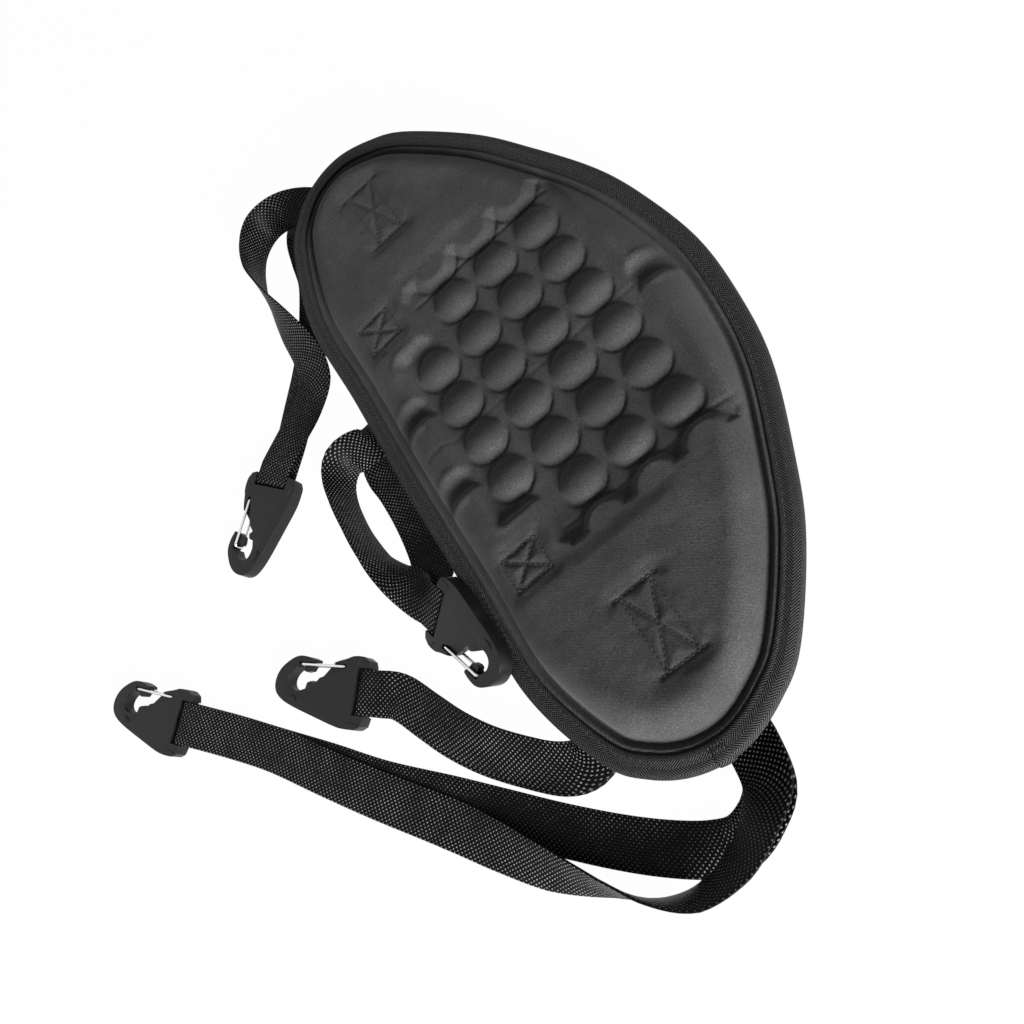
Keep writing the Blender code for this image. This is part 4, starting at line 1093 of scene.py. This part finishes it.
# Routes on the floor, the same as the solids': x, y, roll and lift
ROUTES = {
    "outer_right": ([
        (0.2330, -0.0280, 20, 0.0030), (0.2450, -0.0400, 36, 0.0040), (0.2540, -0.0570, 45, 0.0040),
        (0.2560, -0.0780, 60, 0.0025), (0.2470, -0.0980, 88, 0.0004), (0.2310, -0.1150, 110, 0),
        (0.2080, -0.1370, 145, 0.0018), (0.1840, -0.1560, 165, 0.0018),
        (0.1610, -0.1740, 180, 0.0018), (0.1250, -0.2040, 180, 0.0018),
        (0.0960, -0.2270, 180, 0.0018), (0.0650, -0.2510, 180, 0.0018),
        (0.0410, -0.2730, 180, 0.0028),
    ], [
        (0.0410, -0.2730, 0, 0.0003), (0.0650, -0.2510), (0.0930, -0.2250), (0.1210, -0.2000),
        (0.1510, -0.1690), (0.1730, -0.1470), (0.1960, -0.1240), (0.2170, -0.1010),
        (0.2320, -0.0820), (0.2420, -0.0660), (0.2460, -0.0530, -8, 0), (0.2420, -0.0390, -15, 0),
        (0.2330, -0.0290, -8, 0),
    ]),
    "inner_right": ([
        (0.1740, -0.0850, 0, 0.0020), (0.1780, -0.0960, -10, 0.0018),
        (0.1720, -0.1080, -20, 0.0018), (0.1560, -0.1240, -25, 0.0018),
        (0.1390, -0.1380, -25, 0.0018), (0.1220, -0.1490, -20, 0.0018),
        (0.1060, -0.1580, -10, 0.0018), (0.0885, -0.1670, 0, 0.0030),
    ], [
        (0.0885, -0.1675), (0.1060, -0.1590), (0.1240, -0.1500), (0.1420, -0.1380),
        (0.1600, -0.1220), (0.1740, -0.1070), (0.1780, -0.0950), (0.1740, -0.0850),
    ]),
    "outer_left": ([
        (-0.2240, -0.0540, -8, 0.0022), (-0.2350, -0.0640, -25, 0.0026),
        (-0.2440, -0.0790, -40, 0.0026), (-0.2460, -0.0960, -62, 0.0006),
        (-0.2350, -0.1100, -85, 0), (-0.2130, -0.1170, -95, 0.0018),
        (-0.1880, -0.1180, -115, 0.0020), (-0.1630, -0.1170, -140, 0.0020),
        (-0.1380, -0.1160, -165, 0.0020), (-0.1200, -0.1210, -180, 0.0020),
        (-0.1070, -0.1350, -180, 0.0020), (-0.0980, -0.1510, -180, 0.0030),
    ], [
        (-0.0980, -0.1550, 0, 0.0002), (-0.1140, -0.1400), (-0.1320, -0.1230), (-0.1510, -0.1080),
        (-0.1710, -0.0960), (-0.1900, -0.0870), (-0.2110, -0.0830), (-0.2290, -0.0780),
        (-0.2390, -0.0660), (-0.2360, -0.0540), (-0.2260, -0.0480),
    ]),
    "inner_left": ([
        (-0.0500, -0.1060, -8, 0.0030), (-0.0490, -0.1150, -30, 0.0036),
        (-0.0480, -0.1260, -58, 0.0020), (-0.0400, -0.1350, -75, 0), (-0.0260, -0.1385, -80, 0),
        (-0.0060, -0.1395, -80, 0), (0.0160, -0.1380, -72, 0), (0.0320, -0.1340, -50, 0.0010),
        (0.0440, -0.1290, -15, 0.0050),
    ], [
        (0.0470, -0.1180, 0, 0.0010), (0.0280, -0.1130), (0.0050, -0.1105), (-0.0180, -0.1105),
        (-0.0340, -0.1120), (-0.0465, -0.1085),
    ]),
}


def build_straps(webbing):
    """Four straps, each one length of webbing from the pad, through its hook and back."""
    for side, (out, back) in ROUTES.items():
        places = anchor_run(*ANCHORS[side]) + glide_weave(GLIDE_FRAMES[side]) + floor_run(out)
        places += hook_turn(HOOK_FRAMES[side]) + floor_run(back) + glide_wrap(GLIDE_FRAMES[side])
        length = build_strap(side, places, webbing)
        print(f"strap {side}: {length * 1000:.0f} mm")


# Materials

def add_node(tree, kind, inputs=None, stops=(), **settings):
    """Adds a node with its settings and colour stops, and sets or links its inputs. Returns
    its outputs."""
    made = tree.nodes.new("ShaderNode" + kind)
    for key, value in settings.items():
        setattr(made, key, value)
    for key, value in (inputs or {}).items():
        if isinstance(value, bpy.types.NodeSocket):
            tree.links.new(value, made.inputs[key])
        else:
            made.inputs[key].default_value = value
    if stops:
        points = made.color_ramp.elements
        while len(points) < len(stops):
            points.new(0.5)
        for point, (place, colour) in zip(points, stops):
            point.position = place
            point.color = hex_colour(colour)
    return made.outputs


def start_material(name, **sockets):
    """A new material with its shader's own sockets set. Returns it, its node tree and the
    place on the piece that its patterns read."""
    made = bpy.data.materials.new(name)
    made.use_nodes = True
    shader = made.node_tree.nodes["Principled BSDF"]
    for key, value in sockets.items():
        shader.inputs[key.replace("_", " ").title().replace("Ior", "IOR")].default_value = value
    return made, made.node_tree, add_node(made.node_tree, "TexCoord")["Object"]


def dress(made, height=None, bump=(0.0, 0.0), **looks):
    """Links sockets to a material's colour or roughness, and a height as a bump of a strength
    and a distance."""
    tree = made.node_tree
    shader = tree.nodes["Principled BSDF"]
    if height is not None:
        looks["normal"] = add_node(tree, "Bump", {"Height": height, "Strength": bump[0],
                                                  "Distance": bump[1]})["Normal"]
    for key, value in looks.items():
        tree.links.new(value, shader.inputs[key.replace("_", " ").title()])
    return made


def ribs(tree, along, pitch):
    """A wave from -1 to 1 along a socket, repeated at a pitch in metres."""
    turn = add_node(tree, "Math", {0: along, 1: math.tau / pitch}, operation="MULTIPLY")[0]
    return add_node(tree, "Math", {0: turn}, operation="SINE")[0]


def knit_cloth():
    """Polyester jersey laminated on foam: matt, a little fuzzy, with fine slanting wales. The
    real wales are 0.7 mm apart; they are drawn 1.5 mm apart so that they show."""
    made, tree, place = start_material("polyester_jersey_on_foam", roughness=0.82,
                                       sheen_weight=0.12, sheen_roughness=0.45,
                                       specular_ior_level=0.10)
    turned = add_node(tree, "Mapping", {"Vector": place, "Rotation": (0, 0, math.radians(38))})[0]
    wales = add_node(tree, "TexWave", {"Vector": turned, "Scale": 210.0, "Distortion": 1.6,
                                       "Detail": 2.0, "Detail Scale": 1.4},
                     bands_direction="X")["Fac"]
    fuzz = add_node(tree, "TexNoise", {"Vector": place, "Scale": 1350.0, "Detail": 4.0})["Fac"]
    patches = add_node(tree, "TexNoise", {"Vector": place, "Scale": 26.0, "Detail": 4.0})["Fac"]
    part = add_node(tree, "Math", {0: fuzz, 1: 0.65}, operation="MULTIPLY")[0]
    mixed = add_node(tree, "Math", {0: patches, 1: 0.35, 2: part}, operation="MULTIPLY_ADD")[0]
    colour = add_node(tree, "ValToRGB", {"Fac": mixed},
                      [(0.28, "2c2c2d"), (0.50, "3f3f40"), (0.74, "5a5a5b")])["Color"]
    height = add_node(tree, "Math", {0: wales, 1: 0.12, 2: fuzz}, operation="MULTIPLY_ADD")[0]
    return dress(made, height, (0.55, 0.0004), base_color=colour)


def back_cloth():
    """Plain woven nylon on the back: black, tight and a little shiny. Threads 0.5 mm apart in
    the real cloth are drawn 1 mm apart."""
    made, tree, place = start_material("woven_nylon_backing", roughness=0.7, sheen_weight=0.05,
                                       specular_ior_level=0.15)
    split = add_node(tree, "SeparateXYZ", {"Vector": place})
    weave = add_node(tree, "Math", {0: ribs(tree, split["X"], 0.0020),
                                    1: ribs(tree, split["Y"], 0.0020)}, operation="MULTIPLY")[0]
    noise = add_node(tree, "TexNoise", {"Vector": place, "Scale": 60.0, "Detail": 5.0})["Fac"]
    colour = add_node(tree, "ValToRGB", {"Fac": noise}, [(0.3, "19191a"), (0.7, "262627")])
    return dress(made, weave, (0.4, 0.0003), base_color=colour["Color"])


def herringbone_tape():
    """Polypropylene herringbone tape: ribs 1.5 mm apart that change side every 3.2 mm; each rib is
    raised in the bump, and its crest is drawn lighter in the colour as a painted highlight."""
    made, tree, place = start_material("herringbone_polypropylene_tape", roughness=0.62,
                                       specular_ior_level=0.15)
    split = add_node(tree, "SeparateXYZ",
                     {"Vector": add_node(tree, "UVMap", uv_map="along_across")["UV"]})
    zigzag = add_node(tree, "Math", {0: split["Y"], 1: 0.0032}, operation="PINGPONG")[0]
    along = add_node(tree, "Math", {0: zigzag, 1: 1.1, 2: split["X"]},
                     operation="MULTIPLY_ADD")[0]
    level = add_node(tree, "Math", {0: ribs(tree, along, 0.0015), 1: 0.5, 2: 0.5},
                     operation="MULTIPLY_ADD")[0]
    noise = add_node(tree, "TexNoise", {"Vector": place, "Scale": 500.0, "Detail": 3.0})["Fac"]
    part = add_node(tree, "Math", {0: noise, 1: 0.25}, operation="MULTIPLY")[0]
    mixed = add_node(tree, "Math", {0: level, 1: 0.75, 2: part}, operation="MULTIPLY_ADD")[0]
    # The colour follows the rib wave: the lighter rib crests are painted highlights, over a little
    # random tone from the noise.
    colour = add_node(tree, "ValToRGB", {"Fac": mixed},
                      [(0.15, "040404"), (0.55, "151516"), (0.95, "505051")])["Color"]
    return dress(made, level, (0.8, 0.0004), base_color=colour)


def woven_webbing():
    """Black polypropylene webbing, 25 mm wide with 18 ribs: each rib's yarn floats show as small
    grains, staggered from rib to rib, raised in the bump and drawn lighter in the colour as painted
    highlights."""
    made, tree, place = start_material("woven_polypropylene_webbing", roughness=0.42,
                                       specular_ior_level=0.07)
    split = add_node(tree, "SeparateXYZ",
                     {"Vector": add_node(tree, "UVMap", uv_map="along_across")["UV"]})
    slant = add_node(tree, "Math", {0: split["Y"], 1: 0.15, 2: split["X"]},
                     operation="MULTIPLY_ADD")[0]
    crossed = add_node(tree, "Math", {0: ribs(tree, slant, 0.0027),
                                      1: ribs(tree, split["Y"], 2 * WEBBING_WIDTH / 18)},
                       operation="MULTIPLY")[0]
    floats = add_node(tree, "Math", {0: crossed, 1: 0.0}, operation="MAXIMUM")[0]
    grain = add_node(tree, "Math", {0: floats, 1: 0.8}, operation="POWER")[0]
    mixed = grain
    for scale, detail, least in ((900.0, 2.0, 0.45), (55.0, 3.0, 0.5)):
        noise = add_node(tree, "TexNoise", {"Vector": place, "Scale": scale, "Detail": detail})
        shade = add_node(tree, "Math", {0: noise["Fac"], 1: least}, operation="ADD")[0]
        mixed = add_node(tree, "Math", {0: mixed, 1: shade}, operation="MULTIPLY")[0]
    # The floats are light in the colour: painted highlights on black webbing, varied by random tone
    # from the two noises.
    colour = add_node(tree, "ValToRGB", {"Fac": mixed}, [
        (0.0, "020202"), (0.28, "0a0a0a"), (0.60, "3c3c3c"), (0.95, "868686")])["Color"]
    return dress(made, grain, (0.9, 0.0005), base_color=colour)


def moulded_plastic():
    """Injection moulded acetal: near black, satin, with a faint spark eroded grain and a few
    rubbed patches that shine more."""
    made, tree, place = start_material("moulded_black_acetal", roughness=0.4,
                                       specular_ior_level=0.25)
    patches = add_node(tree, "TexNoise", {"Vector": place, "Scale": 90.0, "Detail": 5.0})["Fac"]
    grain = add_node(tree, "TexNoise", {"Vector": place, "Scale": 2200.0, "Detail": 2.0})["Fac"]
    colour = add_node(tree, "ValToRGB", {"Fac": patches}, [(0.3, "0d0d0e"), (0.7, "171718")])
    rough = add_node(tree, "MapRange", {"Value": patches, "From Min": 0.3, "From Max": 0.7,
                                        "To Min": 0.33, "To Max": 0.50})[0]
    return dress(made, grain, (0.15, 0.0002), base_color=colour["Color"], roughness=rough)


def drawn_steel():
    """Drawn stainless spring wire: bright, with fine draw marks that vary its gloss."""
    made, tree, place = start_material("drawn_stainless_spring_wire", metallic=1.0,
                                       base_color=hex_colour("dadad8"))
    marks = add_node(tree, "TexNoise", {"Vector": place, "Scale": 700.0, "Detail": 3.0})["Fac"]
    rough = add_node(tree, "MapRange", {"Value": marks, "From Min": 0.3, "From Max": 0.7,
                                        "To Min": 0.14, "To Max": 0.28})[0]
    return dress(made, roughness=rough)


def sewing_thread():
    """Bonded polyester thread: dark grey, with a twist that shows as light and dark flecks."""
    made, tree, place = start_material("bonded_polyester_thread", roughness=0.55)
    twist = add_node(tree, "TexWave", {"Vector": place, "Scale": 500.0, "Distortion": 1.0},
                     bands_direction="DIAGONAL")["Fac"]
    colour = add_node(tree, "ValToRGB", {"Fac": twist}, [(0.2, "161616"), (0.9, "2f2f30")])
    return dress(made, twist, (0.5, 0.0002), base_color=colour["Color"])


def sheet_plastic():
    """Extruded polyethylene sheet: milky white and waxy, a little uneven in tone."""
    made, tree, place = start_material("extruded_polyethylene_sheet", roughness=0.5)
    noise = add_node(tree, "TexNoise", {"Vector": place, "Scale": 40.0, "Detail": 3.0})["Fac"]
    colour = add_node(tree, "ValToRGB", {"Fac": noise}, [(0.3, "c9c8c2"), (0.7, "d8d7d2")])
    return dress(made, base_color=colour["Color"])


# Studio

def white_for_camera(tree, plain):
    """1 where the camera, a reflection or a clear material looks at it, else a plain number."""
    path = add_node(tree, "LightPath")
    seen = path["Is Camera Ray"]
    for ray in ("Is Glossy Ray", "Is Transmission Ray"):
        seen = add_node(tree, "Math", {0: seen, 1: path[ray]}, operation="MAXIMUM")[0]
    return add_node(tree, "Math", {0: seen, 1: plain}, operation="MULTIPLY")[0]


def build_floor():
    """A white floor: it shows as white, and the object's shadow stays on it faintly."""
    select_only()
    bpy.ops.mesh.primitive_plane_add(size=6.0, location=(0, 0, 0))
    floor = bpy.context.object
    floor.name = "studio_floor"
    made = bpy.data.materials.new("white_studio_paper")
    made.use_nodes = True
    tree = made.node_tree
    tree.nodes.clear()
    paper = add_node(tree, "BsdfDiffuse", {"Color": hex_colour("f4f4f4")})[0]
    glow = add_node(tree, "Emission", {"Strength": 1.0})[0]
    mixed = add_node(tree, "MixShader", {0: white_for_camera(tree, 0.985), 1: paper, 2: glow})[0]
    add_node(tree, "OutputMaterial", {"Surface": mixed})
    floor.data.materials.append(made)


def build_world():
    """Even white light from all round, plain and soft."""
    world = bpy.data.worlds.new("studio")
    bpy.context.scene.world = world
    world.use_nodes = True
    tree = world.node_tree
    tree.nodes.clear()
    white = hex_colour("ffffff")
    soft = add_node(tree, "Background", {"Color": white, "Strength": 0.14})[0]
    plain = add_node(tree, "Background", {"Color": white, "Strength": 1.0})[0]
    mixed = add_node(tree, "MixShader", {0: white_for_camera(tree, 1.0), 1: soft, 2: plain})[0]
    add_node(tree, "OutputWorld", {"Surface": mixed})


def add_lamp(name, place, target, size, watts):
    """A square soft box that looks at a target."""
    data = bpy.data.lights.new(name, "AREA")
    data.energy = watts
    data.size = size
    lamp = bpy.data.objects.new(name, data)
    bpy.context.scene.collection.objects.link(lamp)
    lamp.location = place
    lamp.rotation_euler = (Vector(target) - Vector(place)).to_track_quat("-Z", "Y").to_euler()


def build_lights():
    """A key soft box from the pad's right end, low over its face, and a weak fill."""
    add_lamp("key", (1.20, 0.10, 0.36), (0.0, 0.0, 0.0), 0.5, 39.0)
    add_lamp("fill", (-0.5, -0.9, 1.2), (0.0, -0.1, 0.0), 1.0, 1.0)


def build_camera():
    """The camera at the photograph's place, square picture, 36 mm wide sensor."""
    data = bpy.data.cameras.new("camera")
    data.sensor_width = 36.0
    data.lens = 35.156
    camera = bpy.data.objects.new("camera", data)
    bpy.context.scene.collection.objects.link(camera)
    right = Vector((0.472456, 0.747814, -0.466433))
    up = Vector((-0.731699, 0.627827, 0.265424))
    back = Vector((0.491327, 0.215887, 0.843795))
    turn = Matrix((right, up, back)).transposed().to_4x4()
    camera.matrix_world = Matrix.Translation((0.307478, 0.055501, 0.453657)) @ turn
    bpy.context.scene.camera = camera


def main():
    """Builds the picture's camera, the dressed pieces and the studio."""
    build_camera()
    plastic = moulded_plastic()
    thread = sewing_thread()
    build_cushion(knit_cloth())
    build_back(back_cloth())
    tape = herringbone_tape()
    build_tape(tape)
    build_tape_end(tape, thread)
    build_stitches(thread)
    build_straps(woven_webbing())
    build_hooks(plastic, drawn_steel())
    build_glides(plastic)
    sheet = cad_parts["stiffener"]
    sheet.data.materials.clear()
    sheet.data.materials.append(sheet_plastic())
    build_floor()
    build_world()
    build_lights()
    bpy.context.scene.view_settings.view_transform = "Standard"


main()
